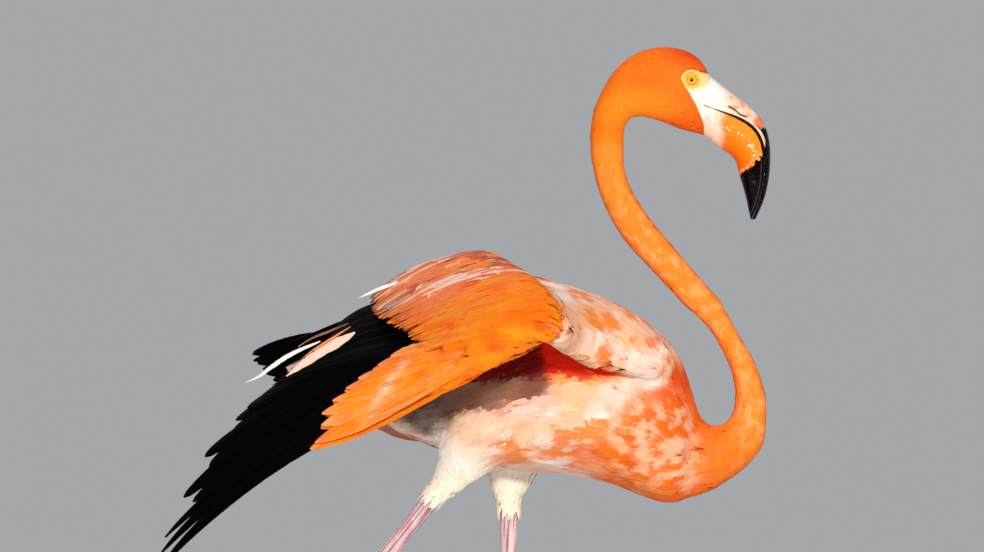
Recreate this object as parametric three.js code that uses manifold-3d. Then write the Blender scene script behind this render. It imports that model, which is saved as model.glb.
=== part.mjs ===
// Life-size model of an American flamingo walking with its head up and its right wing half open.
// Millimetres. X points forward, Y to the bird's left and Z up, with the soles on Z = 0.
// The outline is that of the living bird's plumage, out to the tips of its feathers.
import * as THREE from 'three';
import { mergeVertices } from 'three/addons/utils/BufferGeometryUtils.js';
import Module from 'manifold-3d';

const wasm = await Module();
wasm.setup();

// ---------------------------------------------------------------- driving dimensions

const GAP = 0.35; // clearance between neighbouring solids
const CENTRE = new THREE.Vector3(6.8, -54.4, 0); // middle of the whole bird's box, moved to the origin

const RING_SIDES = { head: 14, neck: 12, trunk: 18, thigh: 12, leg: 8, toe: 6, bill: 12 };

const EYE = { radius: 6.2, x: 199, y: 16.2, z: 888 };

const BILL = { slitWidth: 0.5, slitReach: 30, sectionPower: 2.3, base: 218.6 };

const FOOT = {
  middleToe: 86,
  innerToe: 68,
  outerToe: 74,
  hindToe: 17,
  spread: 0.5, // angle between neighbouring front toes, radians
  rootRadius: 6.2,
  tipRadius: 2.6,
  clawLength: 9,
  webThickness: 1.8,
  webHeight: 2.2,
};

// Each leg's joints as X, Z, and the radii of its feathered thigh from the hip down.
const LEG = {
  right: {
    side: -1,
    hip: [18, 583],
    featherEnd: [-29.5, 514],
    ankle: [-165.5, 349],
    foot: [-165.5, 15],
    thigh: [46, 40, 32, 24.5, 20, 15.6, 10.2],
  },
  left: {
    side: 1,
    hip: [40, 560],
    featherEnd: [32, 504],
    ankle: [32, 306],
    foot: [194, 15],
    thigh: [36, 32, 26.5, 22, 18, 14.4, 9.8],
  },
};
const LEG_Y = { hip: 40, featherEnd: 37, ankle: 33, foot: 30 };
const LEG_RADIUS = { shankTop: 8.2, shank: 7.4, ankle: 11.5, tarsus: 6.6, foot: 7.6 };

// Neck centre line from inside the breast up to the nape: X, Z, half depth, half width.
const NECK_LINE = [
  [192, 551, 41.5, 40],
  [208, 549.5, 35.5, 33],
  [222, 552, 28, 26.5],
  [236.5, 559, 23.4, 22],
  [249.5, 574, 20.6, 19.5],
  [254.6, 597, 19.6, 18],
  [251.5, 616, 18.2, 17],
  [240, 644, 17, 16],
  [223, 670, 15.6, 14.8],
  [199, 699, 14.5, 14],
  [172, 729, 15.4, 14.2],
  [148, 757, 16.2, 14.4],
  [131.6, 786, 15, 13.8],
  [124, 812, 14.8, 13.6],
  [123, 838, 15, 14],
];

const NECK_OVERLAP = 0.01; // how far the breast's stub runs into the neck, as a part of its line
const NECK_IN_TRUNK = 0.36; // how much of the neck's line lies near the trunk

// Where the neck is parted, as rows of its centre line.
const NECK_LENGTHS = {
  neck_base: [1, 3],
  neck_bend: [3, 6],
  neck_lower: [6, 8],
  neck_middle: [8, 10],
  neck_upper: [10, 12],
  neck_top: [12, 14],
};

// Head sections from the nape to the bill's root: upper X, Z, lower X, Z, half width.
const HEAD_LINE = [
  [108.1, 837.9, 138.1, 839.1, 14],
  [110.5, 858, 140.6, 848.6, 15],
  [118, 877, 146, 854.5, 16.5],
  [131, 898, 154.5, 855.4, 18.4],
  [149.4, 912.5, 164, 853.4, 20.4],
  [171, 918, 175, 850, 22],
  [190, 916, 188, 844.6, 21.8],
  [203, 910, 199.5, 841.5, 20.4],
  [211, 901, 208, 839.4, 18.8],
  [215.8, 892.6, 213.5, 837, 17.6],
  [222, 886.6, 220, 829.5, 16.8],
];

// Bill sections from its root to its tip: front X, Z, rear X, Z, half width.
const BILL_LINE = [
  [212, 895, 210, 839, 17.8],
  [219, 889.4, 217.5, 833.6, 16.9],
  [230, 881, 226, 826.5, 16],
  [240, 873.5, 234, 821.5, 15.6],
  [251, 864.8, 239, 815.6, 15.4],
  [260.5, 855.2, 241, 808.8, 15],
  [266.8, 844, 243, 801, 14.4],
  [270, 829, 245.4, 793, 13.4],
  [270.2, 812, 247.2, 786.5, 11.8],
  [268.4, 796, 249, 779.5, 9.8],
  [264.4, 780, 250.6, 771.6, 7.4],
  [257, 763, 252.6, 762.6, 3.6],
];

// The mouth line, from the gape round the bend and on past the tip.
const MOUTH_LINE = [
  [208, 866],
  [218, 862.6],
  [230, 858.4],
  [241, 854],
  [250, 849],
  [257.4, 842],
  [262.4, 832],
  [264.6, 819],
  [264.2, 803],
  [262.4, 789],
  [258.4, 775],
  [251, 757],
];

// Trunk sections: X, middle Z, half height, half width.
const TRUNK_LINE = [
  [-121, 645, 8, 9],
  [-112, 641, 24, 20],
  [-99, 635, 35, 30],
  [-76, 628, 50, 44],
  [-50, 627, 62.5, 56],
  [-20, 627.5, 75, 69],
  [12, 628, 85, 79],
  [48, 625, 90, 85],
  [82, 620, 86.5, 86],
  [112, 612.5, 84.5, 84],
  [140, 602, 82.5, 79],
  [162, 591, 81, 72],
  [180, 581.5, 76, 63],
  [194, 573.5, 64.5, 52],
  [202, 570, 50, 40],
  [207, 568, 34, 27],
  [209.5, 567, 14, 12],
];

// ---------------------------------------------------------------- curves

/**
 * Smooth interpolation through rows of numbers, by the length of their first `spread` columns.
 * @param {number[][]} rows key rows
 * @param {number} spread how many leading columns are coordinates
 * @returns {Function} row at a fraction of the way, with its `span` and the fraction `markOf` a key row
 */
function through(rows, spread = 2) {
  const marks = [0];
  for (let i = 1; i < rows.length; i += 1) {
    let squares = 0;
    for (let k = 0; k < spread; k += 1) squares += (rows[i][k] - rows[i - 1][k]) ** 2;
    marks.push(marks[i - 1] + Math.sqrt(squares));
  }
  const total = marks[marks.length - 1];
  const slope = (i, k) => {
    const before = Math.max(i - 1, 0);
    const after = Math.min(i + 1, rows.length - 1);
    return (rows[after][k] - rows[before][k]) / (marks[after] - marks[before]);
  };
  const row = (t) => {
    const place = Math.min(Math.max(t, 0), 1) * total;
    let i = 0;
    while (i < rows.length - 2 && marks[i + 1] < place) i += 1;
    const width = marks[i + 1] - marks[i];
    const s = (place - marks[i]) / width;
    const eased = 3 * s ** 2 - 2 * s ** 3;
    const h = [1 - eased, s ** 3 - 2 * s ** 2 + s, eased, s ** 3 - s ** 2];
    return rows[0].map((_, k) => {
      const bends = h[1] * slope(i, k) + h[3] * slope(i + 1, k);
      return h[0] * rows[i][k] + h[2] * rows[i + 1][k] + bends * width;
    });
  };
  row.span = total;
  row.markOf = (index) => marks[index] / total;
  return row;
}

/** Evenly spaced numbers from a to b, both included. */
function steps(a, b, count) {
  return Array.from({ length: count + 1 }, (_, i) => a + ((b - a) * i) / count);
}

/** A point from three numbers. */
function at(x, y, z) {
  return new THREE.Vector3(x, y, z);
}

// ---------------------------------------------------------------- closed meshes

/** Six times the volume that indexed triangles enclose, negative when they face in. */
function signedVolume(points, faces) {
  let sum = 0;
  for (const [a, b, c] of faces) {
    sum += points[a].dot(new THREE.Vector3().crossVectors(points[b], points[c]));
  }
  return sum;
}

/** A solid from points and triangles, turned to face out. */
function solidFrom(points, faces) {
  const turned = signedVolume(points, faces) < 0 ? faces.map(([a, b, c]) => [a, c, b]) : faces;
  const geometry = new THREE.BufferGeometry();
  const numbers = points.flatMap((p) => p.toArray());
  geometry.setAttribute('position', new THREE.Float32BufferAttribute(numbers, 3));
  geometry.setIndex(turned.flat());
  return solidOf(geometry);
}

/** A solid from a closed three.js geometry. */
function solidOf(source) {
  const bare = source.clone();
  bare.deleteAttribute('normal');
  bare.deleteAttribute('uv');
  const merged = mergeVertices(bare, 1e-4);
  const mesh = new wasm.Mesh({
    numProp: 3,
    vertProperties: new Float32Array(merged.attributes.position.array),
    triVerts: new Uint32Array(merged.index.array),
  });
  return new wasm.Manifold(mesh);
}

/** The biggest separate body of a solid, for a cut that leaves crumbs. */
function mainBody(solid) {
  const bodies = solid.decompose();
  return bodies.reduce((best, body) => (body.volume() > best.volume() ? body : best));
}

/**
 * A closed body through rings.
 * @param {{centre: THREE.Vector3, across: THREE.Vector3, up: THREE.Vector3, width: number,
 *   depth: number}[]} rings half sizes along two unit directions
 * @param {number} sides corners of each ring
 * @param {number} power 2 for an ellipse, more for a squarer section
 */
function loft(rings, sides, power = 2) {
  const points = [];
  const faces = [];
  for (const { centre, across, up, width, depth } of rings) {
    for (let k = 0; k < sides; k += 1) {
      const angle = (2 * Math.PI * k) / sides;
      const c = Math.cos(angle);
      const s = Math.sin(angle);
      const x = Math.sign(c) * Math.abs(c) ** (2 / power) * width;
      const y = Math.sign(s) * Math.abs(s) ** (2 / power) * depth;
      points.push(centre.clone().addScaledVector(across, x).addScaledVector(up, y));
    }
  }
  for (let i = 0; i < rings.length - 1; i += 1) {
    for (let k = 0; k < sides; k += 1) {
      const a = i * sides + k;
      const b = i * sides + ((k + 1) % sides);
      faces.push([a, b, b + sides], [a, b + sides, a + sides]);
    }
  }
  const ends = [points.length, points.length + 1];
  points.push(rings[0].centre.clone(), rings[rings.length - 1].centre.clone());
  const last = (rings.length - 1) * sides;
  for (let k = 0; k < sides; k += 1) {
    faces.push([ends[0], (k + 1) % sides, k], [ends[1], last + k, last + ((k + 1) % sides)]);
  }
  return solidFrom(points, faces);
}

/** Rings square to a line in the XZ plane. Rows hold X, Z, half depth and half width. */
function ringsAlong(line, marks, y = 0, grow = 0) {
  const curve = through(line);
  return marks.map((t) => {
    const [x, z, depth, width] = curve(t);
    const [x0, z0] = curve(t - 0.004);
    const [x1, z1] = curve(t + 0.004);
    const along = at(x1 - x0, 0, z1 - z0).normalize();
    const up = at(-along.z, 0, along.x);
    return { centre: at(x, y, z), across: at(0, 1, 0), up, width: width + grow, depth: depth + grow };
  });
}

/** A limb of round sections through points, each with its radius. */
function limb(points, radii, sides, { squash = 1, grow = 0 } = {}) {
  const rings = points.map((centre, i) => {
    const before = points[Math.max(i - 1, 0)];
    const after = points[Math.min(i + 1, points.length - 1)];
    const along = after.clone().sub(before).normalize();
    const up = new THREE.Vector3().crossVectors(along, at(0, 1, 0)).normalize();
    const across = new THREE.Vector3().crossVectors(up, along).normalize();
    return { centre, across, up, width: radii[i] * squash + grow, depth: radii[i] + grow };
  });
  return loft(rings, sides);
}

/**
 * A curved plate of feathers with a notched end.
 * @param {object} fan its root, middle and tip curves, each from key points of X, Y, Z,
 *   the number of feathers, how deep the notches are along them as a fraction (first and last
 *   feather), and its half thickness as a function of the fraction along
 * @param {number} grow how much bigger it is than the real one, for cutting others
 */
function featherPlate(fan, grow = 0) {
  const root = through(fan.root, 3);
  const middle = through(fan.middle, 3);
  const tip = through(fan.tip, 3);
  const columns = fan.feathers * fan.columns;
  const grid = [];
  for (let i = 0; i <= columns; i += 1) {
    const u = i / columns;
    const phase = (i % fan.columns) / fan.columns; // 0 between two feathers, 1/2 on a shaft
    const notch = fan.notches[0] + (fan.notches[1] - fan.notches[0]) * u;
    const isEdge = i === 0 || i === columns;
    const roundness = Math.abs(2 * phase - 1) ** fan.tipPower;
    const reach = 1 - notch * (isEdge ? 0.5 : roundness);
    const [a, b, c] = [root(u), middle(u), tip(u)];
    const line = steps(0, 1, fan.rows).map((v) => {
      const w = v * reach;
      const k = [(1 - w) * (1 - 2 * w), 4 * w * (1 - w), w * (2 * w - 1)];
      return at(...a.map((_, n) => k[0] * a[n] + k[1] * b[n] + k[2] * c[n]));
    });
    grid.push(line);
  }
  widen(grid, grow);
  return plate(grid, (i, j) => fan.halfThickness(j / fan.rows, i / columns) + grow);
}

/** Moves the border of a grid of points out by a distance. */
function widen(grid, distance) {
  const push = (point, inner) => point.addScaledVector(point.clone().sub(inner).normalize(), distance);
  for (const line of grid) {
    push(line[0], line[1]);
    push(line[line.length - 1], line[line.length - 2]);
  }
  grid[0].forEach((point, j) => push(point, grid[1][j]));
  grid[grid.length - 1].forEach((point, j) => push(point, grid[grid.length - 2][j]));
}

/** A closed plate on both sides of a grid of points. */
function plate(grid, halfThickness) {
  const rows = grid.length;
  const columns = grid[0].length;
  const points = [];
  const faces = [];
  for (const side of [1, -1]) {
    for (let i = 0; i < rows; i += 1) {
      for (let j = 0; j < columns; j += 1) {
        const du = grid[Math.min(i + 1, rows - 1)][j].clone().sub(grid[Math.max(i - 1, 0)][j]);
        const dv = grid[i][Math.min(j + 1, columns - 1)].clone().sub(grid[i][Math.max(j - 1, 0)]);
        const normal = new THREE.Vector3().crossVectors(du, dv).normalize();
        points.push(grid[i][j].clone().addScaledVector(normal, side * halfThickness(i, j)));
      }
    }
  }
  const top = (i, j) => i * columns + j;
  const under = (i, j) => rows * columns + top(i, j);
  const quad = (a, b, c, d) => faces.push([a, b, c], [a, c, d]);
  for (let i = 0; i < rows - 1; i += 1) {
    for (let j = 0; j < columns - 1; j += 1) {
      quad(top(i, j), top(i + 1, j), top(i + 1, j + 1), top(i, j + 1));
      quad(under(i, j), under(i, j + 1), under(i + 1, j + 1), under(i + 1, j));
    }
    quad(top(i, 0), under(i, 0), under(i + 1, 0), top(i + 1, 0));
    quad(top(i, columns - 1), top(i + 1, columns - 1), under(i + 1, columns - 1), under(i, columns - 1));
  }
  for (let j = 0; j < columns - 1; j += 1) {
    quad(top(0, j), top(0, j + 1), under(0, j + 1), under(0, j));
    quad(top(rows - 1, j), under(rows - 1, j), under(rows - 1, j + 1), top(rows - 1, j + 1));
  }
  return solidFrom(points, faces);
}

// ---------------------------------------------------------------- head, bill and neck

/** Rings between two outlines in the XZ plane. Rows hold one side's X, Z, the other's, and half width. */
function ringsBetween(line, marks) {
  const curve = through(line, 4);
  return marks.map((t) => {
    const [x0, z0, x1, z1, width] = curve(t);
    const half = at(x0 - x1, 0, z0 - z1).multiplyScalar(0.5);
    const centre = at((x0 + x1) / 2, 0, (z0 + z1) / 2);
    return { centre, across: at(0, 1, 0), up: half.clone().normalize(), width, depth: half.length() };
  });
}

/** Head with a socket for each eye. */
function makeHead() {
  const whole = loft(ringsBetween(HEAD_LINE, steps(0, 1, 12)), RING_SIDES.head, 2.1);
  const face = whole.splitByPlane([-1, 0, 0], -(BILL.base - GAP))[0];
  return mainBody(face.subtract(makeEye(-1, GAP)).subtract(makeEye(1, GAP)));
}

/** Eyeball on one side. */
function makeEye(side, grow = 0) {
  const ball = new THREE.SphereGeometry(EYE.radius + grow, 10, 7);
  ball.rotateX(Math.PI / 2);
  ball.translate(EYE.x, side * EYE.y, EYE.z);
  return solidOf(ball);
}

/** Upper and lower bill, parted along the mouth line. */
function makeBill() {
  const rings = ringsBetween(BILL_LINE, steps(0, 1, 14));
  const whole = loft(rings, RING_SIDES.bill, BILL.sectionPower).splitByPlane([1, 0, 0], BILL.base)[0];
  const mouth = through(MOUTH_LINE);
  const slit = [-BILL.slitReach, BILL.slitReach].map((y) =>
    steps(0, 1, 14).map((t) => {
      const [x, z] = mouth(t);
      return at(x, y, z);
    }),
  );
  const parts = whole.subtract(plate(slit, () => BILL.slitWidth / 2)).decompose();
  parts.sort((a, b) => b.volume() - a.volume());
  const frontOf = (body) => body.boundingBox().max[0];
  const [upper, lower] = frontOf(parts[0]) > frontOf(parts[1]) ? parts : [parts[1], parts[0]];
  return { upper, lower };
}

/** One length of the neck, between two rows of its centre line. */
function makeNeckLength([from, to]) {
  const line = through(NECK_LINE);
  const trim = GAP / 2 / line.span;
  const marks = steps(line.markOf(from) + trim, line.markOf(to) - trim, (to - from) * 2);
  return loft(ringsAlong(NECK_LINE, marks), RING_SIDES.neck);
}

// ---------------------------------------------------------------- trunk and tail

/** Trunk before it is cut for the neck. */
function makeTrunkBlank(grow = 0) {
  const curve = through(TRUNK_LINE, 1);
  const rings = steps(0, 1, 18).map((t) => {
    const [x, z, depth, width] = curve(t);
    const stretch = (t - 0.5) * 2 * grow;
    const [across, up] = [at(0, 1, 0), at(0, 0, 1)];
    return { centre: at(x + stretch, 0, z), across, up, width: width + grow, depth: depth + grow };
  });
  return loft(rings, RING_SIDES.trunk, 2.1);
}

/** Short fan of tail feathers behind the trunk. */
const TAIL = {
  feathers: 6,
  columns: 2,
  rows: 4,
  notches: [0.1, 0.1],
  tipPower: 1.5,
  root: [[-96, 34, 636], [-100, 0, 648], [-96, -34, 636]],
  middle: [[-138, 40, 626], [-144, 0, 640], [-138, -40, 626]],
  tip: [[-176, 42, 614], [-188, 0, 622], [-176, -42, 614]],
  halfThickness: (v) => 4.5 - 3.7 * v,
};

// ---------------------------------------------------------------- legs and feet

/** Point on a leg, by the name of its place. */
function legPoint(leg, place) {
  const [x, z] = leg[place];
  return at(x, leg.side * LEG_Y[place], z);
}

/** Feathered thigh, thick at the hip and ending in a cuff round the bare shank. */
function makeThigh(leg, grow = 0) {
  const points = leg.thigh.map((_, i) => {
    return legPoint(leg, 'hip').lerp(legPoint(leg, 'featherEnd'), i / (leg.thigh.length - 1));
  });
  return limb(points, leg.thigh, RING_SIDES.thigh, { squash: 0.82, grow });
}

/** Bare shank from the feathers down to the ankle. */
function makeShank(leg) {
  const { shankTop, shank, ankle } = LEG_RADIUS;
  const marks = [0, 0.1, 0.3, 0.6, 0.85, 0.94, 1];
  const radii = [shankTop, shankTop, shank, shank, shank * 1.04, ankle * 0.85, ankle];
  const points = marks.map((t) => legPoint(leg, 'featherEnd').lerp(legPoint(leg, 'ankle'), t));
  return limb(points, radii, RING_SIDES.leg);
}

/** Bare tarsus from the ankle down to the foot. */
function makeTarsus(leg, grow = 0) {
  const { ankle, tarsus, foot } = LEG_RADIUS;
  const marks = [-0.03, 0, 0.03, 0.1, 0.5, 0.9, 0.96];
  const radii = [ankle * 0.7, ankle, ankle * 0.92, tarsus * 1.1, tarsus, tarsus, foot];
  const points = marks.map((t) => {
    const ankleEnd = legPoint(leg, 'ankle');
    return ankleEnd.clone().addScaledVector(legPoint(leg, 'foot').sub(ankleEnd), t);
  });
  return limb(points, radii, RING_SIDES.leg, { grow });
}

/** Webbed foot: three front toes with claws, their webs and the short hind toe. */
function makeFoot(leg, shin) {
  const joint = legPoint(leg, 'foot');
  const toes = [
    { length: FOOT.innerToe, angle: -leg.side * FOOT.spread },
    { length: FOOT.middleToe, angle: 0 },
    { length: FOOT.outerToe, angle: leg.side * FOOT.spread },
  ];
  const heading = (angle) => at(Math.cos(angle), Math.sin(angle), 0);
  const toePoint = (toe, t, z) => joint.clone().addScaledVector(heading(toe.angle), toe.length * t).setZ(z);
  const knuckle = [9, 0, -8].map((z) => at(0, 0, z).add(joint));
  let foot = limb(knuckle, [7, 10.5, 9], RING_SIDES.leg);
  for (const toe of toes) {
    const ends = [0, 0.33, 0.66, 0.97];
    const radii = ends.map((t) => FOOT.rootRadius + (FOOT.tipRadius - FOOT.rootRadius) * t);
    const line = ends.map((t, i) => toePoint(toe, t, i === 0 ? radii[0] + 2 : radii[i] * 0.8));
    const clawEnd = toePoint(toe, 1 + FOOT.clawLength / toe.length, 1.2);
    foot = foot.add(limb([...line, clawEnd], [...radii, 0.7], RING_SIDES.toe));
  }
  const hind = heading(Math.PI - leg.side * 0.35);
  const hindPoint = (t) => joint.clone().addScaledVector(hind, 4 + FOOT.hindToe * t).setZ(9 - 6 * t);
  const hindLine = [0, 0.5, 1].map(hindPoint);
  foot = foot.add(limb(hindLine, [5, 3.4, 1.2], RING_SIDES.toe));
  for (const [a, b] of [[toes[0], toes[1]], [toes[1], toes[2]]]) {
    const web = steps(0.02, 0.9, 3).map((t) =>
      steps(0, 1, 2).map((s) => {
        const sag = 1 - 0.9 * t * s * (1 - s); // the free edge curves in between two toes
        return toePoint(a, t * sag, FOOT.webHeight).lerp(toePoint(b, t * sag, FOOT.webHeight), s);
      }),
    );
    foot = foot.add(plate(web, () => FOOT.webThickness / 2));
  }
  const standing = foot.splitByPlane([0, 0, 1], 0)[0];
  return mainBody(standing.subtract(shin));
}

// ---------------------------------------------------------------- wings

/** Half thickness of a fleshy lobe: a round front edge that thins towards the feather tips. */
function lobeThickness(edge, most, end) {
  return (v) => {
    const rise = Math.min(1, edge + Math.sqrt(Math.min(v / 0.22, 1)) * (1 - edge));
    return most * rise * (1 - v) ** 0.75 + end;
  };
}

// Right wing, half open: the shoulder and forearm stand off the flank like a roof, and the hand
// hangs back along the leg. Each key row is X, Y, Z.
const RIGHT_WING = {
  arm: {
    feathers: 8,
    columns: 2,
    rows: 5,
    notches: [0.08, 0.08],
    tipPower: 1.4,
    root: [
      [22, -8, 706], [18, -34, 720], [26, -66, 724], [50, -106, 711],
      [70, -150, 694], [82, -184, 676], [79, -203, 660], [68, -206, 655],
    ],
    middle: [
      [-40, -10, 700], [-44, -36, 713], [-30, -70, 716], [-10, -106, 706],
      [8, -144, 696], [18, -176, 682], [22, -196, 668], [10, -204, 654],
    ],
    tip: [
      [-98, -10, 676], [-99, -34, 682], [-93, -62, 682], [-81, -92, 675],
      [-67, -120, 666], [-56, -144, 658], [-47, -160, 651], [-50, -172, 640],
    ],
    halfThickness: lobeThickness(0.4, 11, 1.2),
  },
  shoulder: {
    feathers: 5,
    columns: 1,
    rows: 5,
    notches: [0, 0],
    tipPower: 1,
    root: [[186, -52, 622], [164, -80, 618], [124, -102, 626], [94, -134, 643], [78, -176, 654]],
    middle: [[150, -42, 668], [122, -74, 672], [92, -96, 680], [70, -122, 688], [62, -158, 684]],
    tip: [[94, -26, 686], [68, -52, 696], [44, -72, 700], [24, -92, 703], [22, -130, 696]],
    halfThickness: lobeThickness(0.35, 13, 2),
  },
  hand: {
    feathers: 5,
    columns: 2,
    rows: 6,
    notches: [0.12, 0.12],
    tipPower: 1.4,
    root: [[60, -186, 674], [68, -198, 666], [70, -206, 657]],
    middle: [[-8, -178, 655], [-14, -188, 642], [-31, -202, 612]],
    tip: [[-62, -166, 646], [-104, -172, 617], [-128, -180, 594], [-145, -192, 553]],
    halfThickness: lobeThickness(0.4, 8.5, 1.1),
  },
  primaries: {
    feathers: 10,
    columns: 2,
    rows: 5,
    notches: [0.02, 0.26],
    tipPower: 1.2,
    root: [[-30, -150, 648], [-48, -168, 628], [-62, -196, 590]],
    middle: [[-118, -118, 634], [-136, -140, 602], [-165, -184, 543]],
    tip: [
      [-180, -96, 610], [-205, -106, 588], [-232, -124, 556],
      [-251, -140, 520], [-268, -152, 488], [-275, -164, 459], [-273, -172, 449],
    ],
    halfThickness: (v) => 2.2 - 1.6 * v,
  },
  secondaries: {
    feathers: 7,
    columns: 2,
    rows: 4,
    notches: [0.08, 0.06],
    tipPower: 1.4,
    root: [[-60, -40, 682], [-50, -80, 678], [-36, -120, 664], [-28, -146, 652]],
    middle: [[-86, -38, 668], [-92, -72, 658], [-104, -100, 646], [-114, -116, 637]],
    tip: [[-108, -36, 652], [-132, -62, 638], [-160, -82, 624], [-180, -94, 612]],
    halfThickness: (v) => 2.2 - 1.5 * v,
  },
};

// Left wing, folded against the flank.
const LEFT_WING = {
  arm: {
    feathers: 8,
    columns: 2,
    rows: 5,
    notches: [0.08, 0.08],
    tipPower: 1.4,
    root: [
      [40, 8, 706], [44, 44, 696], [48, 78, 674], [56, 97, 642], [72, 102, 606], [100, 100, 580],
    ],
    middle: [
      [-36, 8, 696], [-36, 42, 686], [-34, 70, 664], [-24, 89, 634], [-8, 96, 604], [24, 98, 578],
    ],
    tip: [
      [-108, 8, 667], [-112, 30, 660], [-110, 52, 645], [-102, 70, 624], [-82, 84, 602], [-52, 92, 582],
    ],
    halfThickness: lobeThickness(0.4, 9, 1.2),
  },
  shoulder: {
    feathers: 5,
    columns: 1,
    rows: 5,
    notches: [0, 0],
    tipPower: 1,
    root: [[184, 44, 634], [186, 62, 618], [178, 76, 598], [156, 88, 582]],
    middle: [[120, 48, 680], [118, 78, 658], [112, 95, 625], [104, 99, 592]],
    tip: [[20, 38, 700], [14, 72, 678], [16, 93, 642], [30, 99, 606]],
    halfThickness: lobeThickness(0.4, 11, 2),
  },
  hand: {
    feathers: 4,
    columns: 2,
    rows: 5,
    notches: [0.12, 0.12],
    tipPower: 1.4,
    root: [[20, 86, 590], [60, 92, 578], [104, 88, 567]],
    middle: [[-40, 82, 588], [-20, 88, 576], [10, 86, 566]],
    tip: [[-112, 72, 596], [-102, 76, 586], [-86, 78, 576]],
    halfThickness: lobeThickness(0.4, 5, 1.1),
  },
  primaries: {
    feathers: 5,
    columns: 2,
    rows: 5,
    notches: [0.08, 0.12],
    tipPower: 1.2,
    root: [[-76, 48, 656], [-84, 60, 634], [-92, 70, 606]],
    middle: [[-136, 42, 656], [-138, 50, 636], [-140, 56, 617]],
    tip: [[-196, 32, 645], [-198, 36, 638], [-190, 42, 629], [-178, 48, 617]],
    halfThickness: (v) => 2.4 - 1.6 * v,
  },
  secondaries: {
    feathers: 6,
    columns: 2,
    rows: 4,
    notches: [0.08, 0.08],
    tipPower: 1.4,
    root: [[-78, 10, 682], [-76, 36, 670], [-68, 62, 652]],
    middle: [[-116, 9, 670], [-118, 30, 662], [-112, 52, 650]],
    tip: [[-158, 8, 654], [-163, 24, 652], [-156, 42, 647]],
    halfThickness: (v) => 2.6 - 1.7 * v,
  },
};

/** The plates of one wing, each cut back where it meets the ones that lie over it. */
function makeWing(wing, trunkCutter) {
  const order = ['arm', 'shoulder', 'hand', 'primaries', 'secondaries'];
  const done = {};
  const cutters = [trunkCutter];
  for (const name of order) {
    let body = featherPlate(wing[name]);
    for (const cutter of cutters) body = body.subtract(cutter);
    done[name] = mainBody(body);
    cutters.push(featherPlate(wing[name], GAP));
  }
  return done;
}

// ---------------------------------------------------------------- the whole bird

const FINISH = {
  plumage: { color: 0xf58a3c, roughness: 0.8 },
  neckPlumage: { color: 0xf5881f, roughness: 0.8 },
  pinkPlumage: { color: 0xf6b79a, roughness: 0.8 },
  blackVane: { color: 0x0c0b0d, roughness: 0.6 },
  down: { color: 0xf3e6c8, roughness: 0.9 },
  bareLeg: { color: 0xe0a3ac, roughness: 0.55 },
  horn: { color: 0xefb79a, roughness: 0.35 },
  darkHorn: { color: 0xd96a2a, roughness: 0.35 },
  eye: { color: 0xf0c63a, roughness: 0.1 },
};

const bird = new THREE.Group();

/** Adds one named solid to the bird. */
function add(name, solid, finish) {
  const { vertProperties, triVerts } = solid.getMesh();
  const geometry = new THREE.BufferGeometry();
  geometry.setAttribute('position', new THREE.BufferAttribute(new Float32Array(vertProperties), 3));
  geometry.setIndex(new THREE.BufferAttribute(new Uint32Array(triVerts), 1));
  geometry.computeVertexNormals();
  const material = new THREE.MeshStandardMaterial({ ...finish, metalness: 0 });
  const mesh = new THREE.Mesh(geometry, material);
  mesh.name = name;
  bird.add(mesh);
}

add('head', makeHead(), FINISH.neckPlumage);
add('eye_right', makeEye(-1), FINISH.eye);
add('eye_left', makeEye(1), FINISH.eye);
const bill = makeBill();
add('bill_upper', bill.upper, FINISH.horn);
add('bill_lower', bill.lower, FINISH.darkHorn);

for (const [name, span] of Object.entries(NECK_LENGTHS)) {
  add(name, makeNeckLength(span), FINISH.neckPlumage);
}

const neckLine = through(NECK_LINE);
const neckStart = neckLine.markOf(NECK_LENGTHS.neck_base[0]);
const neckRoot = loft(ringsAlong(NECK_LINE, steps(0, neckStart + NECK_OVERLAP, 3)), RING_SIDES.neck);
const neckSpan = steps(neckStart - GAP / 2 / neckLine.span, NECK_IN_TRUNK, 10);
const neckCutter = loft(ringsAlong(NECK_LINE, neckSpan, 0, GAP), RING_SIDES.neck);
add('trunk', mainBody(makeTrunkBlank().add(neckRoot).subtract(neckCutter)), FINISH.pinkPlumage);
const trunkCutter = makeTrunkBlank(GAP);

for (const [name, wing] of [['right', RIGHT_WING], ['left', LEFT_WING]]) {
  const parts = makeWing(wing, trunkCutter);
  const finishes = { primaries: FINISH.blackVane, secondaries: FINISH.blackVane };
  for (const [part, solid] of Object.entries(parts)) {
    add(`wing_${name}_${part}`, solid, finishes[part] ?? FINISH.plumage);
  }
}

let tail = featherPlate(TAIL).subtract(trunkCutter);
for (const wing of [RIGHT_WING, LEFT_WING]) {
  for (const part of ['arm', 'secondaries', 'primaries']) {
    tail = tail.subtract(featherPlate(wing[part], GAP));
  }
}
add('tail', mainBody(tail), FINISH.pinkPlumage);

for (const [name, leg] of Object.entries(LEG)) {
  add(`thigh_${name}`, mainBody(makeThigh(leg).subtract(trunkCutter)), FINISH.down);
  const shank = makeShank(leg).subtract(makeThigh(leg, GAP)).subtract(makeTarsus(leg, GAP));
  add(`shank_${name}`, mainBody(shank), FINISH.bareLeg);
  add(`tarsus_${name}`, makeTarsus(leg), FINISH.bareLeg);
  add(`foot_${name}`, makeFoot(leg, makeTarsus(leg, GAP)), FINISH.bareLeg);
}

bird.position.copy(CENTRE).negate();

export default bird;
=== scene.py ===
"""American flamingo, life size, walking with its head up and its right wing half open.

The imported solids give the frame. This script dresses them: one skin over the flesh, feathers as
solid vanes in rows, flight feathers, bill, eyes, legs and claws, and a plain studio round it all.
The tables are in millimetres in the bird's own axes (X forward, Y to its left, Z up, soles on 0);
`to_frame` moves them into the frame, in metres.
"""
import logging
import math
from dataclasses import dataclass
from enum import Enum, IntEnum
from functools import cached_property, partialmethod
from typing import Callable, Sequence

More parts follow.
